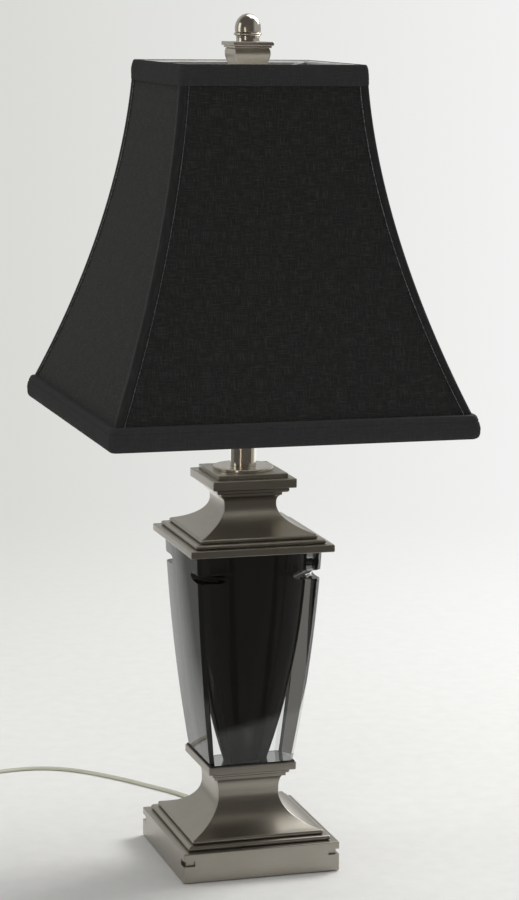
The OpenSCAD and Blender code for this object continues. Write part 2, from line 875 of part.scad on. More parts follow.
module switch_knob() {
    knob_y = socket_r + 1;
    shaft_end = 4;
    color(black)
        translate([0, -shaft_end, knob_axis_z])
            rotate([90, 0, 0])
                cylinder(d = shaft_d, h = knob_y - shaft_end);
    color(black)
        translate([0, -knob_y, knob_axis_z])
            rotate([90, 0, 0])
                difference() {
                    cylinder(d = knob_d, h = knob_l);
                    for (a = [0:30:330]) rotate([0, 0, a])
                        translate([knob_d / 2 + 0.3, 0, 2])
                            cylinder(r = 0.9, h = knob_l, $fn = 16);
                }
}

// Bulb outline: a neck that swells into a ball
function bulb_points(inset) =
    let (
        neck_r = screw_d / 2 - 0.4 - inset,
        ball_r = bulb_r - inset,
        z0 = bulb_base_top_z,
        join_z = bulb_mid_z
    )
    concat([for (i = [0:8]) let (s = i / 8)
            [neck_r + (ball_r - neck_r) * s * s * (3 - 2 * s), z0 + (join_z - z0) * s]],
        [for (i = [1:8]) let (a = 90 * i / 8) [ball_r * cos(a), join_z + ball_r * sin(a)]]);

module bulb_glass() {
    inner = bulb_points(bulb_wall_t);
    color([0.95, 0.95, 0.93, 0.8])
        rotate_extrude()
            polygon(concat(bulb_points(0), reversed(inner)));
}

module bulb_base() {
    color([0.75, 0.75, 0.76])
        rotate_extrude()
            polygon([[0, bulb_z], [4.5, bulb_z], [4.5, bulb_z + 1], [8, bulb_z + bulb_tip_h + 1],
                [screw_d / 2 - 1.5, bulb_z + bulb_tip_h + 2.5], [screw_d / 2, bulb_z + 6],
                [screw_d / 2, bulb_base_top_z], [0, bulb_base_top_z]]);
}

// Half width of a ring's centreline at a height, rounded down so that its pieces meet exactly
function ring_half(z) = floor((shade_half(z) - ring_in) / ring_grid) * ring_grid;

// Square ring of round wire at a height, its centreline at a half width
module wire_ring(half, z) {
    straight = 2 * (half - ring_corner_r);
    translate([0, 0, z])
        for (a = [0:90:270]) rotate([0, 0, a]) {
            translate([half, -straight / 2, 0])
                rotate([-90, 0, 0])
                    cylinder(d = ring_wire_d, h = straight);
            translate([half - ring_corner_r, half - ring_corner_r, 0])
                rotate_extrude(angle = 90)
                    translate([ring_corner_r, 0]) circle(d = ring_wire_d);
        }
}

module shade_top_ring() {
    color(steel)
        wire_ring(ring_half(top_ring_z), top_ring_z);
}

module shade_foot_ring() {
    color(steel)
        wire_ring(ring_half(foot_ring_z), foot_ring_z);
}

// Square wires that lie in the corners of the shade
module shade_ribs() {
    line = [for (p = shade_points(foot_ring_z + ring_wire_d / 2, top_ring_z - ring_wire_d / 2, -fabric_t))
        [sqrt(2) * p[0] - ring_wire_d / 2 - rib_fit, p[1]]];
    color(steel)
        for (a = [45:90:315]) rotate([0, 0, a])
            across_y(ring_wire_d)
                polygon(concat(line, [for (p = reversed(line)) [p[0] - ring_wire_d, p[1]]]));
}

module shade_spider() {
    knee_r = 30;
    end_r = sqrt(2) * (ring_half(top_ring_z) - ring_wire_d / 2 - turn_fit) - arm_w / 2;
    rise = top_ring_z - spider_z - spider_t / 2;
    color(steel)
        difference() {
            union() {
                bore(spider_washer_r, spider_z, spider_z + spider_t);
                for (a = [45:90:315]) rotate([0, 0, a])
                    translate([0, 0, spider_z])
                        across_y(arm_w)
                            polygon([[0, 0], [knee_r, 0], [end_r, rise], [end_r, rise + spider_t],
                                [knee_r, spider_t], [0, spider_t]]);
            }
            bore(stud_d / 2 + turn_fit, spider_z - 1, spider_z + spider_t + 1);
        }
}

// Skin on the shade's front side between two outlines, mitred at its ends
module shade_skin(inner, outer) {
    reach = shade_foot_w;
    ends = [inner[0][1], inner[len(inner) - 1][1]];
    intersection() {
        across_x(2 * reach)
            polygon([for (p = concat(outer, reversed(inner))) [-p[0], p[1]]]);
        translate([0, 0, min(ends) - 1])
            linear_extrude(height = max(ends) - min(ends) + 2)
                polygon([[0, 0], [-reach, -reach], [reach, -reach]]);
    }
}

// Skin of even thickness, between two distances from the fabric's face
module shade_side(z0, z1, inner, outer) {
    shade_skin(shade_points(z0, z1, inner), shade_points(z0, z1, outer));
}

// Padded band of two folds, its bulge a share of its full thickness at shares of its height
band_shape = [[0, 0.3], [0.04, 0.6], [0.2, 0.86], [0.45, 1], [0.7, 0.92], [0.745, 0.8],
    [0.78, 0.88], [0.96, 0.74], [1, 0.6]];

module shade_band(z0, z1, full_t) {
    half_0 = shade_half(z0);
    half_1 = shade_half(z1);
    shade_skin([[half_0, z0], [half_1, z1]],
        [for (b = band_shape)
            [half_0 + (half_1 - half_0) * b[0] + full_t * b[1], z0 + (z1 - z0) * b[0]]]);
}

module fabric_side(turn) {
    color(fabric)
        rotate([0, 0, turn])
            shade_side(shade_foot_z, shade_top_z, -fabric_t, 0);
}

module fabric_front() {
    fabric_side(0);
}

module fabric_right() {
    fabric_side(90);
}

module fabric_back() {
    fabric_side(180);
}

module fabric_left() {
    fabric_side(270);
}

module shade_lining() {
    top_z = spider_z - 3;
    color(white)
        for (a = [0:90:270]) rotate([0, 0, a])
            shade_side(shade_foot_z + 1, top_z, -lining_in - lining_t, -lining_in);
}

module shade_top_trim() {
    color(fabric)
        for (a = [0:90:270]) rotate([0, 0, a])
            shade_band(shade_top_z, shade_top_z - top_trim_h, top_trim_t);
}

module shade_foot_trim() {
    color(fabric)
        for (a = [0:90:270]) rotate([0, 0, a])
            shade_band(shade_foot_z, shade_band_z, foot_trim_t);
}

// One side's strip along its right corner, as wide as the corner trim
module corner_strip(side) {
    far = shade_foot_w;
    intersection() {
        shade_side(shade_band_z, shade_trim_z, 0, corner_trim_t);
        mirror([side > 0 ? 0 : 1, 0, 0])
            across_y(2 * far)
                polygon(concat(shade_points(shade_band_z, shade_trim_z, -corner_trim_w),
                    [[far, shade_trim_z], [far, shade_band_z]]));
    }
}

module shade_corner_trims() {
    color(fabric)
        for (a = [0:90:270]) rotate([0, 0, a]) {
            corner_strip(1);
            corner_strip(-1);
        }
}

// Finial
module finial_cup() {
    half = finial_cup_w / 2;
    foot = finial_cup_foot_w / 2;
    flange = finial_w / 2;
    step_z = finial_flange_z - 2;
    z = finial_z;
    swell = [[foot, z], [foot + 0.3, z + 1.2], [foot + 1, z + 3], [half - 1.85, z + 6.6],
        [half - 0.65, z + 10.2], [half, z + 14], [half - 0.3, step_z - 1.6], [half - 1.2, step_z]];
    color(polished)
        difference() {
            square_solid(concat(swell, [[half + 0.7, step_z], [half + 0.7, finial_flange_z]],
                slab(flange, finial_flange_z, finial_cup_top_z)));
            bore(stud_d / 2 + turn_fit, z - 1, stud_top_z + 2);
            bore(stem_r + turn_fit, finial_cup_top_z - stem_l, finial_cup_top_z + 1);
        }
}

module finial_knob() {
    neck_r = dome_d / 2 - 1;
    dome_r = dome_d / 2;
    bead_r = bead_d / 2;
    straight_h = 3.4;
    z = dome_z;
    crown = [for (i = [0:8]) let (a = 90 * i / 8)
        [dome_r * cos(a), z + straight_h + (dome_h - straight_h) * sin(a)]];
    color(polished)
        rotate_extrude()
            polygon(concat([[0, finial_cup_top_z - stem_l], [stem_r, finial_cup_top_z - stem_l],
                    [stem_r, finial_cup_top_z], [neck_r, finial_cup_top_z], [neck_r, bead_z]],
                arc([bead_r - bead_h / 2, bead_z + bead_h / 2], bead_h / 2, -90, 90),
                [[dome_r - 0.9, z]], crown));
}

// Cord
function unit(v) = v / norm(v);

// Direction of a line at one of its points
function heading(line, i) = unit(line[min(i + 1, len(line) - 1)] - line[max(i - 1, 0)]);

// Ring of a flat tube about a point: sides points, half widths a and b, lying level
function tube_ring(p, dir, a, b, sides, from) =
    let (side = unit(cross([0, 0, 1], dir)), rise = cross(dir, side))
    [for (k = [0:sides - 1]) let (f = from + 360 * k / sides)
        p + side * a * cos(f) + rise * b * sin(f)];

module flat_tube(line, sides, from, a, b) {
    n = len(line);
    rings = [for (i = [0:n - 1])
        each tube_ring(line[i], heading(line, i), a, b, sides, from)];
    walls = [for (i = [0:n - 2], k = [0:sides - 1])
        let (
            p = i * sides + k,
            q = i * sides + (k + 1) % sides
        )
        each [[p, q, q + sides], [p, q + sides, p + sides]]];
    caps = [for (k = [1:sides - 2]) each [[0, k + 1, k],
        [(n - 1) * sides, (n - 1) * sides + k, (n - 1) * sides + k + 1]]];
    polyhedron(points = rings, faces = [for (f = concat(walls, caps)) [f[2], f[1], f[0]]]);
}

// Widening of the coil after some of a turn: it starts level with the inner half turn, opens by
// a pitch within the first part of a turn, and then grows by a pitch a turn
function coil_opening(turn) =
    let (s = turn / coil_open_turn)
    coil_pitch * (turn >= coil_open_turn ? 1 + turn - coil_open_turn
        : s * s * (3 - 2 * s) + coil_open_turn * s * s * (s - 1));

// Coil: inwards on the table, up a layer in the half turn at the inside, outwards on top
function coil_point(turn) =
    let (
        up = min(max((turn - coil_turns) / 0.5, 0), 1),
        away = max(coil_turns - turn, turn - coil_turns - 0.5, 0),
        r = coil_inner_r + coil_opening(away),
        a = coil_start_a + 360 * turn
    )
    [coil_x + r * cos(a), coil_y + r * sin(a), cord_z + coil_layer_h * up * up * (3 - 2 * up)];

function coil_line() =
    let (
        total = 2 * coil_turns + 0.5,
        n = round(total * coil_rings),
        turns = [for (i = [0:n]) coil_point(total * i / n)],
        last_a = coil_start_a + 360 * total,
        back = [sin(coil_start_a), -cos(coil_start_a), 0],
        on = [-sin(last_a), cos(last_a), 0]
    )
    concat([turns[0] + cord_w * back], turns, [for (k = [1:3]) turns[n] + on * coil_tail_l * k / 3]);

// Least gap between turns, level or upright, over all pairs of points more than half a turn apart
function coil_gap(line) =
    min([for (i = [0:len(line) - 2], j = [i + coil_rings / 2:len(line) - 1])
        let (d = line[j] - line[i]) max(norm([d[0], d[1]]) - cord_w, abs(d[2]) - cord_h)]);

module cord_run() {
    first = coil_points[0];
    back = unit(first - coil_points[1]);
    color([0.8, 0.8, 0.74])
        flat_tube(concat(route, [first + 2 * run_end_l * back, first + run_end_l * back, first]),
            8, 22.5, cord_w / 2 / cos(22.5), cord_h / 2 / cos(22.5));
}

module cord_coil() {
    echo(least_coil_gap_mm = coil_gap(coil_points));
    color([0.8, 0.8, 0.74])
        flat_tube(coil_points, 6, 0, cord_w / 2, cord_h / 2 / sin(60));
}

module at_plug() {
    translate(coil_end) rotate([0, 0, plug_turn_a]) children();
}

module plug_body() {
    neck_l = 9;
    neck_w = 9;
    neck_h = 6;
    color([0.78, 0.78, 0.72])
        at_plug()
            hull() {
                translate([0, -neck_w / 2, -neck_h / 2]) cube([1, neck_w, neck_h]);
                translate([neck_l, -plug_w / 2 + 1, -plug_h / 2])
                    cube([plug_l - neck_l, plug_w - 2, plug_h]);
                translate([neck_l + 1, -plug_w / 2, -plug_h / 2 + 1.5])
                    cube([plug_l - neck_l - 1, plug_w, plug_h - 3]);
            }
}

module plug_blades() {
    blade_t = 1.5;
    blade_w = 6.4;
    blade_gap = 12.7;
    color(brass)
        at_plug()
            for (s = [-1, 1])
                translate([plug_l, s * blade_gap / 2 - blade_t / 2, -blade_w / 2])
                    cube([blade_l, blade_t, blade_w]);
}

felt_pad();
cover_plate();
ballast_weight();
foot_casting();
cord_bushing();
threaded_rod();
bottom_washer();
lock_washer();
bottom_nut();
lead_wires();
lower_gasket();
crystal_body();
crystal_core();
upper_gasket();
cap_casting();
check_ring();
neck_tube();
harp_saddle();
socket_cap();
socket_shell();
socket_liner();
switch_block();
screw_shell();
centre_contact();
switch_knob();
harp_feet();
harp_sides();
harp_crown();
harp_seat();
ferrule_left();
ferrule_right();
bulb_glass();
bulb_base();
shade_top_ring();
shade_foot_ring();
shade_ribs();
shade_spider();
fabric_front();
fabric_right();
fabric_back();
fabric_left();
shade_lining();
shade_top_trim();
shade_foot_trim();
shade_corner_trims();
finial_cup();
finial_knob();
cord_run();
cord_coil();
plug_body();
plug_blades();
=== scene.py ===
"""Looks of a square crystal table lamp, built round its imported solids.

Sizes in the classes are millimetres, as in the part's source, and meshes are made in metres.
"""

import logging
import math
from collections.abc import Sequence
from dataclasses import dataclass, field
from enum import Enum
from functools import cache
from typing import Any

import bmesh
import bpy
import numpy as np
from mathutils import Matrix, Vector


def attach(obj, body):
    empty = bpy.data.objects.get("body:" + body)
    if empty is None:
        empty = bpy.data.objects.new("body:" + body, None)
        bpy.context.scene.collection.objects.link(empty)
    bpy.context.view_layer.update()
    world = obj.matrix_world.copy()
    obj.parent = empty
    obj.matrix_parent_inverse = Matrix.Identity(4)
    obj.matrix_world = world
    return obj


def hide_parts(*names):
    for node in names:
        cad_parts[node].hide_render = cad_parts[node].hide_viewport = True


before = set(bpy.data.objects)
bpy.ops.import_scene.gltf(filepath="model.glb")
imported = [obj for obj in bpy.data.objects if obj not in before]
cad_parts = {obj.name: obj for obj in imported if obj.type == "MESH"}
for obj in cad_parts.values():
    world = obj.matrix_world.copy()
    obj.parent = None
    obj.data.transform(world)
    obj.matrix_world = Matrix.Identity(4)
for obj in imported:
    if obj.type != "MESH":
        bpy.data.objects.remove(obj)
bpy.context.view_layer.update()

Array = np.ndarray
Colour = tuple[float, float, float]
Value = bpy.types.NodeSocket
MM = 0.001
QUARTER = math.pi / 2
FULL = 2 * math.pi
DOUBLE = 2e-6  # metres below which two points are one
SLIVER = 1e-7  # metres below which an edge has no length
log = logging.getLogger("lamp")


class Body(Enum):
    """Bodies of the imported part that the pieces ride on."""

    BASE = "base"
    KNOB = "switch_knob"
    BULB = "bulb"
    FERRULE_LEFT = "ferrule_left"
    FERRULE_RIGHT = "ferrule_right"
    SHADE = "shade"
    FINIAL = "finial"


class Slot(Enum):
    """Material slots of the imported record."""

    NICKEL = "nickel"
    POLISHED = "polished_nickel"
    STEEL = "steel"
    BALLAST = "cast_ballast"
    FELT = "felt"
    CRYSTAL = "crystal"
    BLACK_GLASS = "black_glass"
    GASKET = "gasket"
    BRASS = "brass"
    PLASTIC = "black_plastic"
    CARD = "white_card"
    BULB_GLASS = "bulb_glass"
    BULB_METAL = "bulb_metal"
    FABRIC = "shade_fabric"
    LINING = "shade_lining"
    VINYL = "clear_vinyl"
    WIRE = "wire_cover"


class Space(Enum):
    """What a pattern follows: the piece's own UV map or its place in the lamp."""

    UV = "UV"
    OBJECT = "Object"


# Materials


class Graph:
    """Node tree of a material or of the surround, with short calls that add a node and join it."""

    def __init__(self, owner: bpy.types.Material | bpy.types.World) -> None:
        """Empties the owner's node tree."""
        owner.use_nodes = True
        self.owner = owner
        self.tree = owner.node_tree
        self.tree.nodes.clear()

    def add(self, kind: str, inputs: dict[Any, Any] | None = None, **settings: Any) -> bpy.types.Node:
        """Adds one node.

        Args:
            kind: Blender's name of the node type.
            inputs: value or socket for each named or numbered input.
            settings: properties of the node.

        Returns:
            The new node.
        """
        node = self.tree.nodes.new(kind)
        for key, value in settings.items():
            setattr(node, key, value)
        for key, value in (inputs or {}).items():
            if isinstance(value, Value):
                self.tree.links.new(value, node.inputs[key])
            else:
                node.inputs[key].default_value = value
        return node

    def coords(self, space: Space, stretch: Sequence[float] = (1, 1, 1)) -> Value:
        """Coordinates in metres, stretched along each axis."""
        source = self.add("ShaderNodeTexCoord").outputs[space.value]
        return self.add("ShaderNodeMapping", {"Vector": source, "Scale": stretch}).outputs["Vector"]

    def noise(self, vector: Value, scale: float = 1.0, detail: float = 3.0) -> Value:
        """Cloudy pattern from 0 to 1."""
        values = {"Vector": vector, "Scale": scale, "Detail": detail}
        return self.add("ShaderNodeTexNoise", values).outputs["Fac"]

    def wave(self, vector: Value, scale: float, way: str = "X", distortion: float = 0.0) -> Value:
        """Even bands across X, Y or their diagonal, from 0 to 1."""
        values = {"Vector": vector, "Scale": scale, "Distortion": distortion, "Detail": 1.0}
        return self.add("ShaderNodeTexWave", values, bands_direction=way).outputs["Fac"]

    def span(self, value: Value, low: float, high: float, start: float = 0.0, stop: float = 1.0) -> Value:
        """Maps start to stop onto low to high, and holds it there."""
        values = {"Value": value, "From Min": start, "From Max": stop, "To Min": low, "To Max": high}
        return self.add("ShaderNodeMapRange", values).outputs["Result"]

    def calc(self, operation: str, first: Any, second: Any = 0.0) -> Value:
        """One step of arithmetic."""
        return self.add("ShaderNodeMath", {0: first, 1: second}, operation=operation).outputs[0]

    def plus(self, first: Any, second: Any) -> Value:
        """Sum of two values."""
        return self.calc("ADD", first, second)

    def times(self, first: Any, second: Any) -> Value:
        """Product of two values."""
        return self.calc("MULTIPLY", first, second)

    def most(self, first: Any, second: Any) -> Value:
        """Larger of two values."""
        return self.calc("MAXIMUM", first, second)

    def length(self, first: Value, second: Value) -> Value:
        """Length of a flat vector."""
        return self.calc("SQRT", self.plus(self.times(first, first), self.times(second, second)))

    def mix(self, factor: Any, first: Any, second: Any) -> Value:
        """Blend of two colours."""
        values = {"Factor": factor, 6: rgba(first), 7: rgba(second)}
        return self.add("ShaderNodeMix", values, data_type="RGBA").outputs[2]

    def bump(self, height: Value, distance: float, normal: Value | None = None) -> Value:
        """Relief of a height pattern, its distance in metres, laid over another relief or none."""
        values = {"Height": height, "Distance": distance, "Strength": 1.0}
        if normal is not None:
            values["Normal"] = normal
        return self.add("ShaderNodeBump", values).outputs["Normal"]


def rgba(colour: Any) -> Any:
    """Adds full opacity to a plain colour, and lets a socket pass."""
    return colour if isinstance(colour, Value) else (*colour, 1.0)


def scaled(colour: Colour, share: float) -> Colour:
    """Darker or brighter copy of a colour."""
    return tuple(share * c for c in colour)


@dataclass(frozen=True)
class Finish:
    """Look of a piece, and the record's material slot that it belongs to."""

    name: str
    slot: Slot

    def inputs(self, g: Graph) -> dict[str, Any]:
        """Inputs of the shader, which each kind of finish works out in the given tree."""
        raise NotImplementedError

    @cache
    def material(self) -> bpy.types.Material:
        """Makes the material, once for each finish."""
        g = Graph(bpy.data.materials.new(self.name))
        shader = g.add("ShaderNodeBsdfPrincipled", self.inputs(g))
        g.add("ShaderNodeOutputMaterial", {"Surface": shader.outputs[0]})
        return g.owner


@dataclass(frozen=True)
class BrushedMetal(Finish):
    """Satin metal whose fine lines run along the first direction of the UV map."""

    colour: Colour
    shade: Colour
    roughness: float
    line: float = 0.0000015

    def inputs(self, g: Graph) -> dict[str, Any]:
        """Long thin noise for the lines, broad noise for cloudy tarnish."""
        lines = g.noise(g.coords(Space.UV, (22, 5200, 1)), detail=4)
        cloud = g.noise(g.coords(Space.OBJECT), 22, 4)
        tangent = g.add("ShaderNodeTangent", direction_type="UV_MAP").outputs[0]
        return {"Base Color": g.mix(g.span(cloud, 0, 1, 0.35, 0.7), self.shade, self.colour), "Metallic": 1.0,
                "Roughness": g.span(lines, self.roughness + 0.04, self.roughness - 0.04, 0.3, 0.7),
                "Anisotropic": 0.55, "Anisotropic Rotation": 0.25, "Tangent": tangent,
                "Normal": g.bump(lines, self.line)}


@dataclass(frozen=True)
class PolishedMetal(Finish):
    """Bright metal with faint smears and hairlines."""

    colour: Colour
    roughness: float = 0.1

    def inputs(self, g: Graph) -> dict[str, Any]:
        """Cloudy smears in the gloss, and fine hairlines round the piece."""
        smear = g.noise(g.coords(Space.OBJECT), 60, 4)
        hair = g.noise(g.coords(Space.OBJECT, (60, 60, 4200)), detail=2)
        dull = g.span(smear, self.roughness, self.roughness + 0.1, 0.45, 0.75)
        colour = g.mix(g.span(smear, 0, 1, 0.35, 0.7), scaled(self.colour, 0.82), self.colour)
        return {"Base Color": colour, "Metallic": 1.0, "Roughness": g.plus(dull, g.times(hair, 0.05)),
                "Normal": g.bump(hair, 0.000004)}


@dataclass(frozen=True)
class MouldedPlastic(Finish):
    """Moulded or pressed piece with a fine grain, also card, rubber, felt and cast iron."""

    colour: Colour
    roughness: float
    grain: float = 900.0
    depth: float = 0.00003
    sheen: float = 0.0
    coat: float = 0.0

    def inputs(self, g: Graph) -> dict[str, Any]:
        """Fine grain for relief, broad cloud for the colour."""
        place = g.coords(Space.OBJECT)
        grain = g.noise(place, self.grain, 3)
        cloud = g.noise(place, 35, 3)
        return {"Base Color": g.mix(g.span(cloud, 0, 1, 0.3, 0.6), scaled(self.colour, 0.7), self.colour),
                "Roughness": g.span(grain, self.roughness - 0.06, self.roughness + 0.1),
                "Sheen Weight": self.sheen, "Coat Weight": self.coat, "Normal": g.bump(grain, self.depth)}


@dataclass(frozen=True)
class ClearCrystal(Finish):
    """Heavy clear glass with polished faces."""

    tint: Colour

    def inputs(self, g: Graph) -> dict[str, Any]:
        """Faint uneven polish on clear glass."""
        polish = g.noise(g.coords(Space.OBJECT), 30, 3)
        return {"Base Color": rgba(self.tint), "Roughness": g.span(polish, 0.0, 0.015, 0.4, 0.8), "IOR": 1.53,
                "Transmission Weight": 1.0, "Normal": g.bump(polish, 0.00002)}


@dataclass(frozen=True)
class BlackGlass(Finish):
    """Opaque black core with a glossy skin."""

    colour: Colour
    skin: Colour

    def inputs(self, g: Graph) -> dict[str, Any]:
        """Soft cloud in the gloss."""
        cloud = g.noise(g.coords(Space.OBJECT), 40, 2)
        return {"Base Color": rgba(self.colour), "Roughness": g.span(cloud, 0.04, 0.09), "IOR": 1.5,
                "Specular IOR Level": 0.5, "Specular Tint": rgba(self.skin)}


@dataclass(frozen=True)
class WovenFabric(Finish):
    """Dull black cloth of uneven threads, on the UV map in metres."""

    colour: Colour
    thread: Colour
    pitch: float = 0.0006
    depth: float = 0.00006
    sheen: float = 0.0

    def inputs(self, g: Graph) -> dict[str, Any]:
        """Two crossed sets of bands for the threads, slubs from stretched noise."""
        flat = g.coords(Space.UV)
        bands = 0.16 / self.pitch
        weave = g.times(g.wave(flat, bands, "X", 0.6), g.wave(flat, bands, "Y", 0.6))
        slub = g.most(g.noise(g.coords(Space.UV, (90, 1500, 1)), detail=3),
                      g.noise(g.coords(Space.UV, (1500, 90, 1)), detail=3))
        fleck = g.noise(g.coords(Space.UV, (700, 700, 1)), detail=2)
        light = g.plus(g.span(slub, 0, 0.7, 0.5, 0.8), g.span(fleck, 0, 0.6, 0.6, 0.85))
        height = g.plus(g.times(weave, 0.5), g.times(slub, 0.6))
        return {"Base Color": g.mix(light, self.colour, self.thread), "Roughness": g.span(slub, 0.95, 0.78),
                "Specular IOR Level": 0.25, "Sheen Weight": self.sheen, "Sheen Roughness": 0.4,
                "Normal": g.bump(height, self.depth)}


@dataclass(frozen=True)
class TapeFabric(Finish):
    """Folded black binding with a pale stitched line along each edge, which is also a painted highlight of the
    fold's edge; UV runs across and along it.
    """

    colour: Colour
    thread: Colour
    half_width: float
    sheen: float
    seam: float = 0.00045
    seam_half: float = 0.00032

    def inputs(self, g: Graph) -> dict[str, Any]:
        """Threads across the fold, and a thin pale line near both edges: broken like stitches, and painted
        pale as the highlight along the fold's edge.
        """
        flat = g.coords(Space.UV)
        across = g.add("ShaderNodeSeparateXYZ", {0: flat}).outputs[0]
        edge = g.calc("SUBTRACT", self.half_width, g.calc("ABSOLUTE", across))
        # mask of the pale edge line: stitching with a painted highlight
        line = g.calc("COMPARE", edge, self.seam)
        line.node.inputs[2].default_value = self.seam_half
        stitched_highlight = g.span(g.noise(g.coords(Space.UV, (200, 700, 1)), detail=2), 0.25, 1, 0.4, 0.62)
        twill = g.wave(flat, 620, "DIAGONAL")
        cloud = g.noise(g.coords(Space.UV, (300, 60, 1)), detail=3)
        cloth = g.mix(g.span(cloud, 0, 0.5, 0.45, 0.8), self.colour, self.thread)
        return {"Base Color": g.mix(g.times(line, stitched_highlight), cloth, scaled(self.thread, 4.2)), "Roughness": 0.8,
                "Specular IOR Level": 0.3, "Sheen Weight": self.sheen, "Sheen Roughness": 0.35,
                "Normal": g.bump(g.plus(g.times(twill, 0.4), cloud), 0.00008)}


@dataclass(frozen=True)
class PaleLining(Finish):
    """Thin pale lining, slightly shiny, with soft creases whose hollows are painted darker as painted shade.
    """

    colour: Colour

    def inputs(self, g: Graph) -> dict[str, Any]:
        """Long soft creases and a fine weave; the colour is darker where the creases dip, painted shade in
        their hollows.
        """
        crease = g.noise(g.coords(Space.UV, (34, 12, 1)), detail=4)
        weave = g.noise(g.coords(Space.UV, (1400, 1400, 1)), detail=1)
        # painted shade: colour falls to 0.8 of the lining's where the creases are low
        return {"Base Color": g.mix(g.span(crease, 0, 1, 0.3, 0.6), scaled(self.colour, 0.8), self.colour),
                "Roughness": 0.42, "Specular IOR Level": 0.5, "Sheen Weight": 0.2,
                "Normal": g.bump(weave, 0.00003, g.bump(crease, 0.0012))}


@dataclass(frozen=True)
class TwinCord(Finish):
    """Clear twin cord: bright strands under a glossy skin, one side tinned and one side copper."""

    tinned: Colour
    copper: Colour
    gap: Colour
    skin: Colour

    def inputs(self, g: Graph) -> dict[str, Any]:
        """Strands in the middle of each side; UV runs round the cord from 0 to 1, and along it in metres."""
        around = g.add("ShaderNodeSeparateXYZ", {0: g.coords(Space.UV)}).outputs[0]
        turn = g.calc("COSINE", g.times(around, FULL))
        strand = g.span(g.calc("ABSOLUTE", turn), 0.0, 1.0, 0.25, 0.75)
        metal = g.mix(g.span(turn, 0, 1, -0.1, 0.1), self.tinned, self.copper)
        twist = g.wave(g.coords(Space.UV, (2.0, 260, 1)), 1.0, "DIAGONAL")
        cloud = g.noise(g.coords(Space.UV, (2, 55, 1)), detail=3)
        core = g.mix(g.span(twist, 0.0, 0.35), metal, self.gap)
        colour = g.mix(g.times(strand, g.span(cloud, 0.35, 0.9, 0.3, 0.7)), self.skin, core)
        return {"Base Color": colour, "Roughness": 0.3, "Coat Weight": 1.0, "Coat Roughness": 0.06,
                "Subsurface Weight": 0.15, "Subsurface Radius": (0.002, 0.002, 0.0015),
                "Normal": g.bump(twist, 0.00004)}


@dataclass(frozen=True)
class FrostedGlass(Finish):
    """White frosted bulb glass."""

    colour: Colour

    def inputs(self, g: Graph) -> dict[str, Any]:
        """Fine frost under a smooth skin."""
        frost = g.noise(g.coords(Space.OBJECT), 1500, 2)
        cloud = g.noise(g.coords(Space.OBJECT), 25, 2)
        return {"Base Color": g.mix(g.span(cloud, 0, 1, 0.3, 0.7), scaled(self.colour, 0.93), self.colour),
                "Roughness": g.span(frost, 0.35, 0.5), "Coat Weight": 0.6, "Coat Roughness": 0.08,
                "Subsurface Weight": 0.2, "Subsurface Radius": (0.01, 0.01, 0.009),
                "Normal": g.bump(frost, 0.00001)}


class Finishes:
    """Every finish of the lamp."""

    NICKEL = BrushedMetal("satin_nickel", Slot.NICKEL, (0.42, 0.392, 0.345), (0.39, 0.362, 0.316), 0.31)
    POLISHED = PolishedMetal("polished_nickel", Slot.POLISHED, (0.66, 0.61, 0.54))
    CAST_CUP = PolishedMetal("cast_nickel", Slot.POLISHED, (0.6, 0.55, 0.48), 0.26)
    STEEL = PolishedMetal("plain_steel", Slot.STEEL, (0.5, 0.5, 0.5), 0.32)
    BRASS = PolishedMetal("lacquered_brass", Slot.BRASS, (0.7, 0.5, 0.22), 0.2)
    BULB_METAL = PolishedMetal("bulb_aluminium", Slot.BULB_METAL, (0.75, 0.75, 0.75), 0.28)
    BALLAST = MouldedPlastic("cast_ballast", Slot.BALLAST, (0.03, 0.03, 0.032), 0.8, 400, 0.0004)
    FELT = MouldedPlastic("green_felt", Slot.FELT, (0.012, 0.03, 0.018), 0.95, 1400, 0.0003, sheen=0.6)
    GASKET = MouldedPlastic("black_gasket", Slot.GASKET, (0.02, 0.02, 0.02), 0.7, 600)
    PLASTIC = MouldedPlastic("black_moulding", Slot.PLASTIC, (0.015, 0.015, 0.015), 0.32, 1200, 0.00002)
    CARD = MouldedPlastic("white_card", Slot.CARD, (0.78, 0.76, 0.7), 0.85, 700, 0.00006)
    WIRE = MouldedPlastic("wire_cover", Slot.WIRE, (0.7, 0.7, 0.66), 0.4)
    VINYL = MouldedPlastic("clear_moulding", Slot.VINYL, (0.66, 0.66, 0.6), 0.3, 300, 0.00002, coat=0.8)
    CRYSTAL = ClearCrystal("clear_crystal", Slot.CRYSTAL, (0.97, 0.985, 0.98))
    BLACK_GLASS = BlackGlass("black_core", Slot.BLACK_GLASS, (0.0135, 0.0135, 0.0135), (0.75, 0.78, 0.75))
    BULB_GLASS = FrostedGlass("frosted_glass", Slot.BULB_GLASS, (0.84, 0.84, 0.81))
    FABRIC = WovenFabric("black_weave", Slot.FABRIC, (0.0135, 0.0135, 0.013), (0.056, 0.056, 0.055),
                         sheen=0.06)
    # same black cloth as the panels, painted about twice as pale: painted sheen of the band
    BAND = WovenFabric("black_band", Slot.FABRIC, (0.029, 0.029, 0.0298), (0.052, 0.052, 0.053), 0.0005,
                       0.00004)
    TAPE = TapeFabric("black_tape", Slot.FABRIC, (0.017, 0.017, 0.017), (0.038, 0.038, 0.038), 0.007, 0.08)
    LINING = PaleLining("pale_lining", Slot.LINING, (0.93, 0.93, 0.9))
    CORD = TwinCord("clear_cord", Slot.VINYL, (0.42, 0.43, 0.36), (0.58, 0.45, 0.24), (0.2, 0.17, 0.11),
                    (0.6, 0.6, 0.48))


# Surfaces


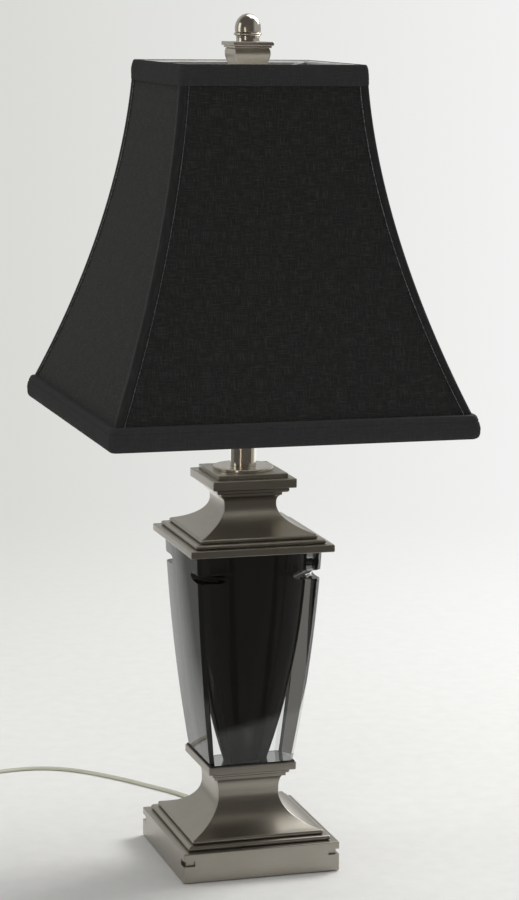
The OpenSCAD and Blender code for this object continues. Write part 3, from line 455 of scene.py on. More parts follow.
@dataclass
class Surface:
    """Quads gathered from grids of points in millimetres, with a UV map in metres."""

    points: list[Array] = field(default_factory=list)
    quads: list[Array] = field(default_factory=list)
    maps: list[Array] = field(default_factory=list)
    count: int = 0

    def add(self, grid: Array, uv: Array | None = None) -> "Surface":
        """Adds a grid of rows and columns, joining each point to its neighbours.

        Args:
            grid: rows by columns by 3 coordinates.
            uv: rows by columns by 2, or None for lengths along the grid's own lines.

        Returns:
            The surface itself, so that calls can follow each other.
        """
        rows, cols = grid.shape[:2]
        uv = grid_lengths(grid) if uv is None else uv
        index = self.count + np.arange(rows * cols).reshape(rows, cols)
        quads = np.stack([index[:-1, :-1], index[:-1, 1:], index[1:, 1:], index[1:, :-1]], axis=-1)
        self.points.append(grid.reshape(-1, 3))
        self.maps.append(uv.reshape(-1, 2))
        self.quads.append(quads.reshape(-1, 4))
        self.count += rows * cols
        return self

    def mesh(self, name: str, sharp: float) -> bpy.types.Mesh:
        """Makes the mesh.

        Args:
            name: name of the mesh.
            sharp: angle in degrees above which an edge is sharp.

        Returns:
            The mesh, merged, with its faces outwards.
        """
        points = np.concatenate(self.points) * MM
        quads = np.concatenate(self.quads)
        uvs = np.concatenate(self.maps)
        mesh = bpy.data.meshes.new(name)
        mesh.from_pydata(points.tolist(), [], quads.tolist())
        layer = mesh.uv_layers.new(name="UVMap")
        layer.data.foreach_set("uv", uvs[quads.ravel()].astype(np.float32).ravel())
        mend_mesh(mesh, sharp)
        return mesh

    def piece(self, name: str, finish: Finish, nodes: Sequence[str], sharp: float, body: Body = Body.BASE,
              bevel: float = 0.0) -> bpy.types.Object:
        """Makes the mesh and puts it into the scene, with the values that mesh and place name."""
        return place(self.mesh(name, sharp), finish, nodes, body, bevel)


def grid_lengths(grid: Array) -> Array:
    """UV of a grid in metres: the length along its rows, then the mean length down its columns."""
    along = np.linalg.norm(np.diff(grid, axis=1), axis=2)
    down = np.linalg.norm(np.diff(grid, axis=0), axis=2).mean(axis=1)
    u = np.concatenate([np.zeros((grid.shape[0], 1)), np.cumsum(along, axis=1)], axis=1)
    v = np.concatenate([[0.0], np.cumsum(down)])[:, None] + 0 * u
    return np.stack([u, v], axis=-1) * MM


def mend_mesh(mesh: bpy.types.Mesh, sharp: float, planar: bool = False) -> None:
    """Merges doubles, drops faces without area, turns faces outwards and marks sharp edges.

    Args:
        mesh: the mesh to mend.
        sharp: angle in degrees above which an edge is sharp.
        planar: whether neighbours that lie in one plane become one face.
    """
    work = bmesh.new()
    work.from_mesh(mesh)
    bmesh.ops.remove_doubles(work, verts=work.verts, dist=DOUBLE)
    if planar:
        bmesh.ops.dissolve_limit(work, angle_limit=math.radians(1), verts=work.verts, edges=work.edges)
    bmesh.ops.dissolve_degenerate(work, edges=work.edges, dist=SLIVER)
    loose = [v for v in work.verts if not v.link_faces]
    bmesh.ops.delete(work, geom=loose, context="VERTS")
    bmesh.ops.recalc_face_normals(work, faces=work.faces)
    work.to_mesh(mesh)
    work.free()
    mesh.shade_smooth()
    mesh.set_sharp_from_angle(angle=math.radians(sharp))


def link(name: str, data: Any) -> bpy.types.Object:
    """Puts a mesh, lamp or camera into the scene as an object."""
    thing = bpy.data.objects.new(name, data)
    bpy.context.scene.collection.objects.link(thing)
    return thing


def place(mesh: bpy.types.Mesh, finish: Finish, nodes: Sequence[str], body: Body = Body.BASE,
          bevel: float = 0.0) -> bpy.types.Object:
    """Puts a finished mesh into the scene.

    Args:
        mesh: the mesh, its name is the piece's name.
        finish: what it is made of, with the record's material slot.
        nodes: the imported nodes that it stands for.
        body: the body that it rides on.
        bevel: width in millimetres of its eased edges, or 0.

    Returns:
        The new object.
    """
    piece = link(mesh.name, mesh)
    mesh.materials.append(finish.material())
    if bevel:
        ease = piece.modifiers.new("eased_edges", "BEVEL")
        ease.width = bevel * MM
        ease.segments = 2
        ease.limit_method = "ANGLE"
        ease.angle_limit = math.radians(32)
    even = piece.modifiers.new("even_shading", "WEIGHTED_NORMAL")
    even.keep_sharp = True
    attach(piece, body.value)
    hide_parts(*nodes)
    log.info("%s: %d faces, rides on %s", piece.name, len(mesh.polygons), body.value)
    return piece


def refine(node: str, name: str, finish: Finish, bevel: float, body: Body = Body.BASE) -> bpy.types.Object:
    """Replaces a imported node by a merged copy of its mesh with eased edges."""
    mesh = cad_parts[node].data.copy()
    mesh.name = name
    mesh.materials.clear()
    mend_mesh(mesh, 35, planar=True)
    return place(mesh, finish, [node], body, bevel)


def dress(finish: Finish, *nodes: str) -> None:
    """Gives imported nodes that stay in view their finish."""
    for name in nodes:
        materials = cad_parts[name].data.materials
        materials.clear()
        materials.append(finish.material())
        log.info("%s: packed node, finish %s", name, finish.name)


def arc(centre: Sequence[float], radius: float, start: float, stop: float, steps: int) -> Array:
    """Points on a circle about a centre, between two angles in degrees."""
    turn = np.radians(np.linspace(start, stop, steps + 1))
    return np.stack([centre[0] + radius * np.cos(turn), centre[1] + radius * np.sin(turn)], axis=1)


def slab(half: float, low: float, high: float, ease: float = 0.7) -> Array:
    """Outline of a slab with rounded edges, from its lower to its upper edge."""
    return np.concatenate([arc((half - ease, low + ease), ease, -90, 0, 3),
                           arc((half - ease, high - ease), ease, 0, 90, 3)])


def nose(half: float, low: float, high: float) -> Array:
    """Half-round outline of a step."""
    radius = (high - low) / 2
    return arc((half - radius, low + radius), radius, -90, 90, 10)


def hollow(neck: float, foot: float, low: float, high: float, sweep: float) -> Array:
    """Piece of an ellipse that sweeps from a wide foot up to an upright neck."""
    wide = (foot - neck) / (1 - math.cos(math.radians(sweep)))
    tall = (high - low) / math.sin(math.radians(sweep))
    turn = np.radians(np.linspace(sweep, 0, 30))
    return np.stack([neck + wide * (1 - np.cos(turn)), high - tall * np.sin(turn)], axis=1)


def cove(neck: float, low: float, wide: float, tall: float, sweep: float) -> Array:
    """Piece of an ellipse, wide and tall, that leaves an upright neck and sweeps outwards over it."""
    turn = np.radians(np.linspace(0, sweep, 12))
    return np.stack([neck + wide * (1 - np.cos(turn)) / (1 - math.cos(turn[-1])),
                     low + tall * np.sin(turn) / math.sin(turn[-1])], axis=1)


def smooth(s: Array) -> Array:
    """Smooth step s s (3 - 2 s), from 0 to 1."""
    return s * s * (3 - 2 * s)


def lathe(profile: Array, steps: int = 96) -> Array:
    """Profile of radius and height, turned once round the axis: r cos a, r sin a, z."""
    turn = np.linspace(0, FULL, steps + 1)
    radius, height = profile[:, :1], profile[:, 1:]
    return np.stack([radius * np.cos(turn), radius * np.sin(turn), height + 0 * turn], axis=-1)


def four_sides(x: Array, y: Array, z: Array) -> Array:
    """Grid of one side's points turned to all four sides, and closed by the first column."""
    x, y = (np.concatenate([a, b, -a, -b, a[:, :1]], axis=1) for a, b in ((x, -y), (y, x)))
    return np.stack([x, y, z + 0 * x], axis=-1)


def end_rows(grid: Array, first: Array, last: Array) -> Array:
    """Closes a grid at both ends by rows that lie in one point."""
    ends = [np.repeat(point[None, None], grid.shape[1], axis=1) for point in (first, last)]
    return np.concatenate([ends[0], grid, ends[1]])


@dataclass
class SquarePlan:
    """Square plan with rounded corners that is carried along a profile.

    Each level is four straight sides joined by quarter circles. Within zone of a corner a level may
    stand back by its own notch depth.
    """

    corner: float = 0.7
    zone: float = 10.0
    side_steps: int = 6
    corner_steps: int = 4

    def grid(self, profile: Array, notch: Array | None = None, corner: Array | None = None) -> Array:
        """Works out the grid.

        Args:
            profile: half width and height of each level, from the foot up.
            notch: how far each level stands back near its corners.
            corner: radius of each level's corners, or None for the plan's own.

        Returns:
            Levels by points by 3, with the first column repeated at the end.
        """
        half = profile[:, :1]
        inner = half - (0 if notch is None else notch[:, None])
        radius = np.minimum(self.corner if corner is None else corner[:, None], 0.95 * inner)
        zone = np.minimum(self.zone, 0.5 * half)
        middle = np.linspace(-1, 1, self.side_steps + 1) * (half - zone)
        turn = np.linspace(-QUARTER, 0, self.corner_steps + 1)
        x = np.concatenate([middle, half - zone, inner - radius + radius * np.cos(turn), inner], axis=1)
        y = np.concatenate([-half + 0 * middle, -inner, radius - inner + radius * np.sin(turn), zone - half],
                           axis=1)
        return four_sides(x, y, profile[:, 1:])


def tube(path: Array, section: Array, across: Sequence[float]) -> tuple[Array, Array]:
    """Closed outline carried along a path: p + a side + b rise, where side is level with across.

    Args:
        path: points of the centreline in millimetres.
        section: outline of points a, b round the centreline, open.
        across: direction that the section's first axis is square to.

    Returns:
        Grid with a closed skin and closed ends, and its UV: share of the way round, metres along.
    """
    ahead = np.gradient(path, axis=0)
    ahead /= np.linalg.norm(ahead, axis=1, keepdims=True)
    side = np.cross(np.array(across, float), ahead)
    side /= np.linalg.norm(side, axis=1, keepdims=True)
    rise = np.cross(ahead, side)
    loop = np.concatenate([section, section[:1]])
    grid = path[:, None] + loop[None, :, :1] * side[:, None] + loop[None, :, 1:] * rise[:, None]
    steps = np.linalg.norm(np.diff(path, axis=0), axis=1)
    length = np.concatenate([[0.0, 0.0], np.cumsum(steps), [steps.sum()]])[:, None] * MM
    share = np.linspace(0, 1, len(loop)) + 0 * length
    return end_rows(grid, path[0], path[-1]), np.stack([share, length + 0 * share], axis=-1)


def circle(radius: float, steps: int = 16) -> Array:
    """Open outline of a circle."""
    turn = np.arange(steps) * FULL / steps
    return radius * np.stack([np.cos(turn), np.sin(turn)], axis=1)


def smooth_line(points: Array, steps: int) -> Array:
    """Smooth curve through points, each stretch a cubic with the mean slope of its neighbours."""
    slope = np.gradient(points, axis=0)
    t = (np.arange(steps) / steps)[None, :, None]
    a, b, m, n = points[:-1, None], points[1:, None], slope[:-1, None], slope[1:, None]
    line = ((2 * t**3 - 3 * t**2 + 1) * a + (t**3 - 2 * t**2 + t) * m
            + (3 * t**2 - 2 * t**3) * b + (t**3 - t**2) * n)
    return np.concatenate([line.reshape(-1, 3), points[-1:]])


def ripple(u: Array, v: Array, size: float) -> Array:
    """Gentle unevenness: three crossed waves of unlike length, of the given height."""
    return size * (np.sin(u * 0.083 + v * 0.021) + 0.6 * np.sin(u * 0.047 - v * 0.11 + 1.3)
                   + 0.4 * np.sin(u * 0.21 + v * 0.17 + 0.4)) / 2


# Studio


@dataclass
class StudioCamera:
    """Camera at the photograph's viewing angle, in metres and degrees."""

    place: tuple[float, float, float] = (-0.63858, -2.12178, 0.74708)
    yaw: float = 17.111
    pitch: float = -9.839
    roll: float = 0.676
    lens: float = 104.147

    def build(self) -> None:
        """Makes the camera and sets it as the scene's."""
        yaw, pitch, roll = (math.radians(a) for a in (self.yaw, self.pitch, self.roll))
        ahead = Vector((math.sin(yaw) * math.cos(pitch), math.cos(yaw) * math.cos(pitch), math.sin(pitch)))
        right = Vector((math.cos(yaw), -math.sin(yaw), 0))
        up = right.cross(ahead)
        turned_right = math.cos(roll) * right + math.sin(roll) * up
        turned_up = math.cos(roll) * up - math.sin(roll) * right
        data = bpy.data.cameras.new("camera")
        data.lens = self.lens
        data.sensor_width = 36
        data.clip_start, data.clip_end = 0.05, 60
        camera = link("camera", data)
        camera.matrix_world = Matrix.Translation(self.place) @ Matrix(
            (turned_right, turned_up, -ahead)).transposed().to_4x4()
        bpy.context.scene.camera = camera


@dataclass(frozen=True)
class Softbox:
    """Soft lamp that faces the lamp's axis, in metres and watts.

    Its aim is the height that it faces, and mirrored says whether glossy surfaces show it.
    """

    name: str
    place: tuple[float, float, float]
    aim: float
    size: tuple[float, float]
    power: float
    colour: Colour
    mirrored: bool = True

    def build(self) -> None:
        """Adds the lamp, which shows neither to the camera nor through glass."""
        data = bpy.data.lights.new(self.name, "AREA")
        data.shape = "RECTANGLE"
        data.size, data.size_y = self.size
        data.energy = self.power
        data.color = self.colour
        lamp = link(self.name, data)
        lamp.location = self.place
        lamp.rotation_mode = "QUATERNION"
        lamp.rotation_quaternion = (Vector((0, 0, self.aim)) - Vector(self.place)).to_track_quat("-Z", "Y")
        lamp.visible_camera = False
        lamp.visible_transmission = False
        lamp.visible_glossy = self.mirrored


@dataclass
class Studio:
    """Pale floor, soft lamps and a pale surround, in metres, only floor_drop in millimetres.

    Colours: pale_left and pale_right are the backdrop's, dim is what lies far out in reflections,
    gloom the dark side in front, sweep_dark to sweep_light the sweep behind the lamp, ambient what
    lights the lamp, and inner what the crystal's inner reflections show of the surround. On the
    floor, dim, gloom and the sweep are painted reflections that only reflected rays see.

    Spans, in metres from the lamp's axis: fade and fade_mirrored are where the floor turns into the
    backdrop, behind where the sweep begins, sweep its width along sweep_way, front the edge of the
    dark side, which runs at front_slant, and inner_edge the edge of the pool under the crystal.
    """

    floor_half: float = 7.0
    floor_drop: float = 0.05
    stand: tuple[float, float] = (-0.63858, -2.12178)
    pale_left: Colour = (0.695, 0.702, 0.67)
    pale_right: Colour = (0.9, 0.9, 0.895)
    dim: Colour = (0.5, 0.505, 0.485)
    gloom: Colour = (0.112, 0.106, 0.097)
    sweep_dark: Colour = (0.25, 0.255, 0.24)
    sweep_light: Colour = (1.4, 1.41, 1.37)
    ambient: Colour = (0.4, 0.4, 0.4)
    inner: Colour = (0.05, 0.05, 0.049)
    fade: tuple[float, float] = (0.5, 1.7)
    fade_mirrored: tuple[float, float] = (0.2, 0.6)
    behind: tuple[float, float] = (0.08, 0.2)
    sweep: tuple[float, float] = (-0.024, 0.014)
    sweep_way: tuple[float, float] = (0.962, 0.274)
    front: tuple[float, float] = (-0.236, -0.218)
    front_slant: float = 0.45
    inner_edge: tuple[float, float] = (0.1, 0.108)
    lamps: tuple[Softbox, ...] = (
        Softbox("right_softbox", (1.7, 0.8, 1.8), 0.25, (1.1, 1.1), 38, (1.0, 0.995, 0.985)),
        Softbox("top_softbox", (0.9, 0.6, 2.5), 0.2, (1.6, 1.6), 18, (1.0, 1.0, 1.0)),
        Softbox("left_softbox", (-2.1, 0.3, 1.1), 0.45, (0.9, 1.4), 5, (0.98, 1.0, 0.93)),
        Softbox("front_softbox", (-0.7, -1.9, 2.0), 0.5, (1.0, 1.0), 8, (1.0, 0.99, 1.0), False),
        Softbox("front_strip", (-1.25, -1.45, 0.46), 0.42, (0.3, 0.9), 1.6, (1.0, 0.88, 0.72)))

    def build(self) -> None:
        """Makes the floor, the lamps and the world."""
        self.floor()
        for lamp in self.lamps:
            lamp.build()
        self.world()
        bpy.context.scene.view_settings.view_transform = "Standard"

    def floor(self) -> None:
        """Makes the floor: pale, fading into the backdrop far out, with painted reflections: in them it is
        dark in front of the lamp and shows a sweep from dark to light behind it, and to the crystal's
        inner reflections it is dark outside a pale pool under the crystal.
        """
        ticks = np.linspace(-self.floor_half, self.floor_half, 9) / MM
        x, y = np.meshgrid(ticks, ticks)
        mesh = Surface().add(np.stack([x, y, 0 * x - self.floor_drop], axis=-1)).mesh("studio_floor", 30)
        g = Graph(bpy.data.materials.new("studio_floor"))
        east, north = g.add("ShaderNodeSeparateXYZ", {0: g.coords(Space.OBJECT)}).outputs[:2]
        rays = g.add("ShaderNodeLightPath").outputs
        camera, glossy, through = (rays[f"Is {kind} Ray"] for kind in ("Camera", "Glossy", "Transmission"))
        grain = g.noise(g.coords(Space.OBJECT), 60, 3)
        colour = g.mix(g.span(grain, 0, 1, 0.3, 0.7), (0.74, 0.74, 0.725), (0.77, 0.77, 0.755))
        matt = g.add("ShaderNodeBsdfDiffuse", {"Color": colour})
        pale = self.backdrop(g, *(g.calc("SUBTRACT", way, at) for way, at in zip((east, north), self.stand)))
        # painted reflection: a sweep from dark to light behind the lamp, seen only by reflected rays
        lane = g.plus(g.times(east, self.sweep_way[0]), g.times(north, self.sweep_way[1]))
        sweep = g.mix(g.span(lane, 0, 1, *self.sweep), self.sweep_dark, self.sweep_light)
        side = g.mix(g.span(north, 0, 1, *self.behind), self.dim, sweep)
        glow = self.glow(g, g.mix(g.most(camera, through), side, pale))
        reach = g.length(east, north)
        far = g.most(g.times(g.span(reach, 0, 1, *self.fade), camera),
                     g.times(g.span(reach, 0, 1, *self.fade_mirrored), glossy))
        # painted reflection: a dark side in front of the lamp and, for the crystal's inner reflections, gloom
        # beyond the pool under it
        across = g.plus(north, g.times(east, self.front_slant))
        front = g.times(g.span(across, 1, 0, *self.front), glossy)
        inner = g.times(g.span(rays["Glossy Depth"], 0, 1), through)
        front = g.most(front, g.times(inner, g.span(reach, 0, 0.97, *self.inner_edge)))
        light = g.add("ShaderNodeMixShader", {0: far, 1: matt.outputs[0], 2: glow})
        both = g.add("ShaderNodeMixShader", {0: front, 1: light.outputs[0], 2: self.glow(g, self.gloom)})
        g.add("ShaderNodeOutputMaterial", {"Surface": both.outputs[0]})
        mesh.materials.append(g.owner)
        floor = link("studio_floor", mesh)

    def glow(self, g: Graph, colour: Any) -> Value:
        """Surface that shows a colour as it is."""
        return g.add("ShaderNodeEmission", {"Color": rgba(colour), "Strength": 1.0}).outputs[0]

    def backdrop(self, g: Graph, across: Value, away: Value) -> Value:
        """Pale backdrop that is a little darker on the left, as seen from in front of the lamp."""
        slope = g.calc("DIVIDE", across, g.length(across, away))
        return g.mix(g.span(slope, 0, 1, 0.2, 0.4), self.pale_left, self.pale_right)

    def world(self) -> None:
        """Makes the surround: pale to the camera and through glass, with a dark side in front."""
        g = Graph(bpy.data.worlds.new("studio"))
        rays = g.add("ShaderNodeLightPath").outputs
        source = g.add("ShaderNodeTexCoord").outputs["Generated"]
        east, north = g.add("ShaderNodeSeparateXYZ", {0: source}).outputs[:2]
        through = rays["Is Transmission Ray"]
        pale = self.backdrop(g, east, north)
        left = g.calc("SUBTRACT", 1.0, g.span(east, 0, 1, 0.5, 0.8))
        dark = g.times(g.span(north, 1, 0, 0.3, 0.75), left)
        gloss = g.mix(dark, g.mix(through, self.dim, pale), self.gloom)
        inner = g.times(g.span(rays["Glossy Depth"], 0, 1), through)
        inner = g.times(inner, g.span(north, 0.97, 0.5, 0.75, 0.98))
        ambient = g.mix(rays["Is Glossy Ray"], self.ambient, g.mix(inner, gloss, self.inner))
        colour = g.mix(rays["Is Camera Ray"], ambient, pale)
        shader = g.add("ShaderNodeBackground", {"Color": colour, "Strength": 1.0})
        g.add("ShaderNodeOutputWorld", {"Surface": shader.outputs[0]})
        bpy.context.scene.world = g.owner


# Cord


@dataclass
class Cord:
    """Clear flat twin cord: a run over the table, a coil of the rest, and a plug.

    The coil has turns in each of its two layers and climbs over climb of a turn; its radius grows by
    pitch a turn, at first smoothly over open_turn. Angles are in degrees.
    """

    width: float = 5.2
    height: float = 2.8
    exit: tuple[float, float, float] = (0.0, 92.0, 11.0)
    coil_centre: tuple[float, float] = (-224.0, 234.0)
    coil_radius: float = 21.0
    pitch: float = 5.75
    turns: float = 3.375
    climb: float = 0.5
    open_turn: float = 0.6
    start: float = 102.0
    layer: float = 3.8
    tail: float = 28.0
    per_turn: int = 48
    plug_length: float = 28.0
    plug_half: tuple[float, float] = (10.5, 5.2)
    plug_root: tuple[float, float] = (4.5, 3.0)
    plug_power: float = 0.42
    route: tuple[tuple[float, float, float], ...] = (
        (0, 92, 11), (0, 98, 11), (0, 110, 9.4), (1, 122, 6.2), (2, 134, 3.2), (2, 146, 1.8), (0, 160, 1.4),
        (-6, 174, 1.4), (-14, 188, 1.4), (-23, 201, 1.4), (-32, 214, 1.4), (-41, 227, 1.4), (-51, 240, 1.4),
        (-61, 252, 1.4), (-72, 264, 1.4), (-84, 275, 1.4), (-97, 284, 1.4), (-111, 290, 1.4), (-126, 293, 1.4),
        (-141, 293, 1.4), (-156, 291, 1.4), (-171, 288.4, 1.4), (-185, 285.6, 1.4))

    def end_turn(self) -> float:
        """Turns from the coil's start to its end."""
        return 2 * self.turns + self.climb

    def coil(self) -> Array:
        """Coil: inwards on the table, up a layer at the inside, outwards on top."""
        total = self.end_turn()
        turn = np.linspace(0, total, round(total * self.per_turn) + 1)
        up = np.clip((turn - self.turns) / self.climb, 0, 1)
        away = np.maximum(np.maximum(self.turns - turn, turn - self.turns - self.climb), 0)
        s = away / self.open_turn
        early = smooth(s) + self.open_turn * s * s * (s - 1)
        radius = self.coil_radius + self.pitch * np.where(s >= 1, 1 + away - self.open_turn, early)
        angle = math.radians(self.start) + FULL * turn
        x, y = self.coil_centre
        return np.stack([x + radius * np.cos(angle), y + radius * np.sin(angle),
                         self.height / 2 + self.layer * smooth(up)], axis=1)

    def way(self, turn: float) -> Array:
        """Direction of the cord after a number of turns of the coil."""
        angle = math.radians(self.start) + FULL * turn
        return np.array([-math.sin(angle), math.cos(angle), 0.0])

    def line(self) -> Array:
        """Centreline of the whole cord, from the strain relief to the plug."""
        coil = self.coil()
        back = -self.way(0)
        first = coil[0] + self.width * back
        bends = np.concatenate([np.array(self.route, float), [first + 24 * back, first + 12 * back, first]])
        tail = coil[-1] + self.way(self.end_turn()) * np.linspace(0, self.tail, 9)[1:, None]
        return np.concatenate([smooth_line(bends, 4), coil, tail])

    def section(self) -> Array:
        """Outline of two round cores side by side with a shallow groove between them."""
        radius = self.height / 2
        shift = self.width / 2 - radius
        right = arc((shift, 0), radius, -128, 128, 12)
        return np.concatenate([right, -right])

    def plug(self) -> Surface:
        """Plug body: a rounded box whose half width and height follow smooth steps along it.

        Its section is cos and sin of the angle, each to a low power, and seven grooves give a grip.
        """
        s = np.linspace(0, 1, 41)
        rise = smooth(np.clip(s / 0.34, 0, 1))
        grip = 0.35 * np.sin(s * FULL * 7) ** 2 * (s > 0.42) * (s < 0.86)
        wide, tall = (root + (half - root) * rise for root, half in zip(self.plug_root, self.plug_half))
        close = np.sqrt(1 - np.clip((s - 0.94) / 0.06, 0, 1) ** 2 * 0.45)[:, None, None]
        turn = np.linspace(0, FULL, 49)
        a, b = (np.sign(w) * np.abs(w) ** self.plug_power for w in (np.cos(turn), np.sin(turn)))
        start, ahead = self.line()[-1], self.way(self.end_turn())
        side = np.array([-ahead[1], ahead[0], 0.0])
        section = ((wide - grip)[:, None, None] * a[:, None] * side
                   + (tall - 0.5 * grip)[:, None, None] * b[:, None] * np.array([0, 0, 1.0]))
        grid = start + ahead * self.plug_length * s[:, None, None] + close * section
        return Surface().add(end_rows(grid, start, start + ahead * self.plug_length))

    def build(self) -> None:
        line = self.line()
        skin = Surface().add(*tube(line, self.section(), (0, 0, 1)))
        cord = skin.piece("supply_cord", Finishes.CORD, ["cord_run", "cord_coil"], 50)
        plug = self.plug().piece("plug", Finishes.VINYL, ["plug_body"], 50)
        blades = refine("plug_blades", "plug_blade_pair", Finishes.BRASS, 0.3)


# Foot


@dataclass
class Foot:
    """Stepped casting on a felt pad, with the cord's strain relief at its back."""

    plinth_half: float = 70.0
    plinth_top: float = 26.5
    rim_gap: float = 0.8
    recess_half: float = 66.0
    recess_top: float = 3.7
    step: float = 4.2
    step_half: tuple[float, float] = (64.0, 59.0)
    neck: float = 27.3
    neck_z: float = 63.0
    sweep: float = 70.0
    cove: tuple[float, float] = (3.1, 12.3)
    fillet: tuple[float, float] = (32.35, 78.3)
    moulding_half: float = 34.9
    moulding_z: tuple[float, float] = (81.0, 85.0)
    collar: float = 39.3
    top: float = 92.0
    notch_z: tuple[float, float] = (15.4, 20.4)
    notch_depth: float = 2.5
    relief_z: float = 11.0

    def profile(self) -> tuple[Array, Array]:
        """Outline of the casting from the recess under it to its top, and the notch at each level."""
        low, high = self.notch_z
        z1 = self.plinth_top + self.step
        z2 = z1 + self.step
        recess, rim = self.recess_half, self.rim_gap
        parts = [np.array([[0.0, self.recess_top], [recess, self.recess_top], [recess, rim + 0.6]]),
                 arc((recess + 0.6, rim + 0.6), 0.6, 180, 270, 2),
                 arc((self.plinth_half - 0.7, rim + 0.7), 0.7, -90, 0, 3),
                 np.array([[self.plinth_half, z] for z in (low, low, high, high)]),
                 arc((self.plinth_half - 0.7, self.plinth_top - 0.7), 0.7, 0, 90, 3),
                 nose(self.step_half[0], self.plinth_top, z1), nose(self.step_half[1], z1, z2),
                 hollow(self.neck, self.step_half[1] - 2.5, z2, self.neck_z, self.sweep),
                 cove(self.neck, self.neck_z + 3, *self.cove, 75),
                 np.array([self.fillet, (self.fillet[0], self.moulding_z[0])]),
                 nose(self.moulding_half, *self.moulding_z), slab(self.collar, self.moulding_z[1], self.top),
                 np.array([[0.0, self.top]])]
        points = np.concatenate(parts)
        first = sum(len(p) for p in parts[:3])
        notch = np.zeros(len(points))
        notch[first + 1:first + 3] = self.notch_depth
        return points, notch

    def relief(self) -> Surface:
        """Strain relief: a flange, then a cone with five rings, closed round the cord."""
        s = np.linspace(0, 1, 61)
        cone = 5.0 + (3.4 - 5.0) * s - 0.35 * np.cos(s * FULL * 5) ** 8 * (s > 0.04) * (s < 0.96)
        body = np.stack([cone, 72 + 19.8 * s], axis=1)
        head = np.array([[0.0, 61.0], [6.2, 61.0], [6.5, 61.3], [6.5, 62.9], [5.0, 63.0], [5.0, 70.0]])
        flange = np.array([[6.1, 70.0], [6.5, 70.4], [6.5, 71.4], [6.1, 71.9]])
        tip = np.array([[3.2, 92.0], [0.0, 92.0]])
        grid = lathe(np.concatenate([head, flange, body, tip]), 48)
        return Surface().add(np.stack([grid[..., 0], grid[..., 2], self.relief_z + grid[..., 1]], axis=-1))

    def build(self) -> None:
        """Makes the casting and the strain relief, and dresses what is under it."""
        casting = Surface().add(SquarePlan().grid(*self.profile()))
        casting.piece("foot_shell", Finishes.NICKEL, ["foot_casting"], 42)
        self.relief().piece("strain_relief", Finishes.VINYL, ["cord_bushing"], 45)
        refine("felt_pad", "felt_underside", Finishes.FELT, 0.4)
        dress(Finishes.STEEL, "cover_plate", "threaded_rod", "bottom_washer", "lock_washer")
        dress(Finishes.BALLAST, "ballast_weight")
        dress(Finishes.BRASS, "bottom_nut")
        dress(Finishes.WIRE, "lead_wires")


# Crystal


@dataclass
class Crystal:
    """Tapered clear block with bevelled edges and a cut across each corner, round a black core."""

    low: float = 93.0
    high: float = 281.5
    air: float = 0.08
    top_width: float = 111.0
    foot_width: float = 75.2
    straight: float = 0.45
    bevel: float = 3.5
    cut_low: float = 258.0
    cut_height: float = 7.5
    cut_length: float = 25.0
    core_foot: float = 19.5
    core_top: float = 51.5
    core_straight: float = 0.06
    core_inset: float = 0.2

    def taper(self, z: Array, straight: float) -> Array:
        """Share of the way down to the foot, a straight taper and a swelling one mixed."""
        u = (self.high - z) / (self.high - self.low)
        return straight * u + (1 - straight) * u * u

    def half(self, z: Array) -> Array:
        """Half width of the block at a height."""
        return (self.top_width - (self.top_width - self.foot_width) * self.taper(z, self.straight)) / 2

    def block(self) -> Surface:
        """Clear block: at each level four faces, and between them a bevel or the flat of the cut.

        The cut has a round bottom: its distance from the axis, along the diagonal, is that of its
        middle plus a half circle over its height. The first and the last level lie in one point.
        """
        radius = self.cut_height / 2
        middle = self.cut_low + radius
        bottom = math.sqrt(2) * float(self.half(np.array(middle))) - self.cut_length / math.sqrt(2)
        f = np.radians(np.linspace(-90, 90, 17))
        cut_z = middle + radius * np.sin(f)
        cut_leg = 2 * self.half(cut_z) - math.sqrt(2) * (bottom + radius - radius * np.cos(f))
        below = np.linspace(self.low + self.air, self.cut_low, 34)
        above = np.linspace(self.cut_low + self.cut_height, self.high - self.air, 6)
        z = np.concatenate([below[:1], below, cut_z, above, above[-1:]])[:, None]
        leg = np.concatenate([np.full(35, cut_leg[0]), cut_leg, np.full(7, cut_leg[-1])])[:, None]
        cut = (np.arange(len(z)) >= 35)[:, None] & (np.arange(len(z)) < 35 + len(cut_z))[:, None]
        half = self.half(z)
        bevel = np.full(z.shape, self.bevel)
        for values in (half, leg, bevel):
            values[[0, -1]] = 0.0
        near = np.where(cut, half - leg * 2 / 3, half - bevel)
        far = np.where(cut, leg / 3 - half, -half)
        face = np.linspace(-1, 1, 7) * (half - leg)
        return Surface().add(four_sides(np.concatenate([face, near, -far], axis=1),
                                        np.concatenate([-half + 0 * face, far, -near], axis=1), z))

    def core(self) -> Surface:
        """Black core: a turned cone that swells upwards."""
        z = np.linspace(self.low + self.core_inset, self.high - self.core_inset, 60)
        radius = self.core_top - (self.core_top - self.core_foot) * self.taper(z, self.core_straight)
        radius = np.concatenate([[0.0], radius, [0.0]])
        z = np.concatenate([z[:1], z, z[-1:]])
        return Surface().add(lathe(np.stack([radius, z], axis=1), 128))

    def build(self) -> None:
        """Makes the block and the core, and dresses the gaskets."""
        self.block().piece("crystal_block", Finishes.CRYSTAL, ["crystal_body"], 28, bevel=0.35)
        self.core().piece("black_core", Finishes.BLACK_GLASS, ["crystal_core"], 40)
        dress(Finishes.GASKET, "lower_gasket", "upper_gasket")


# Cap and stem


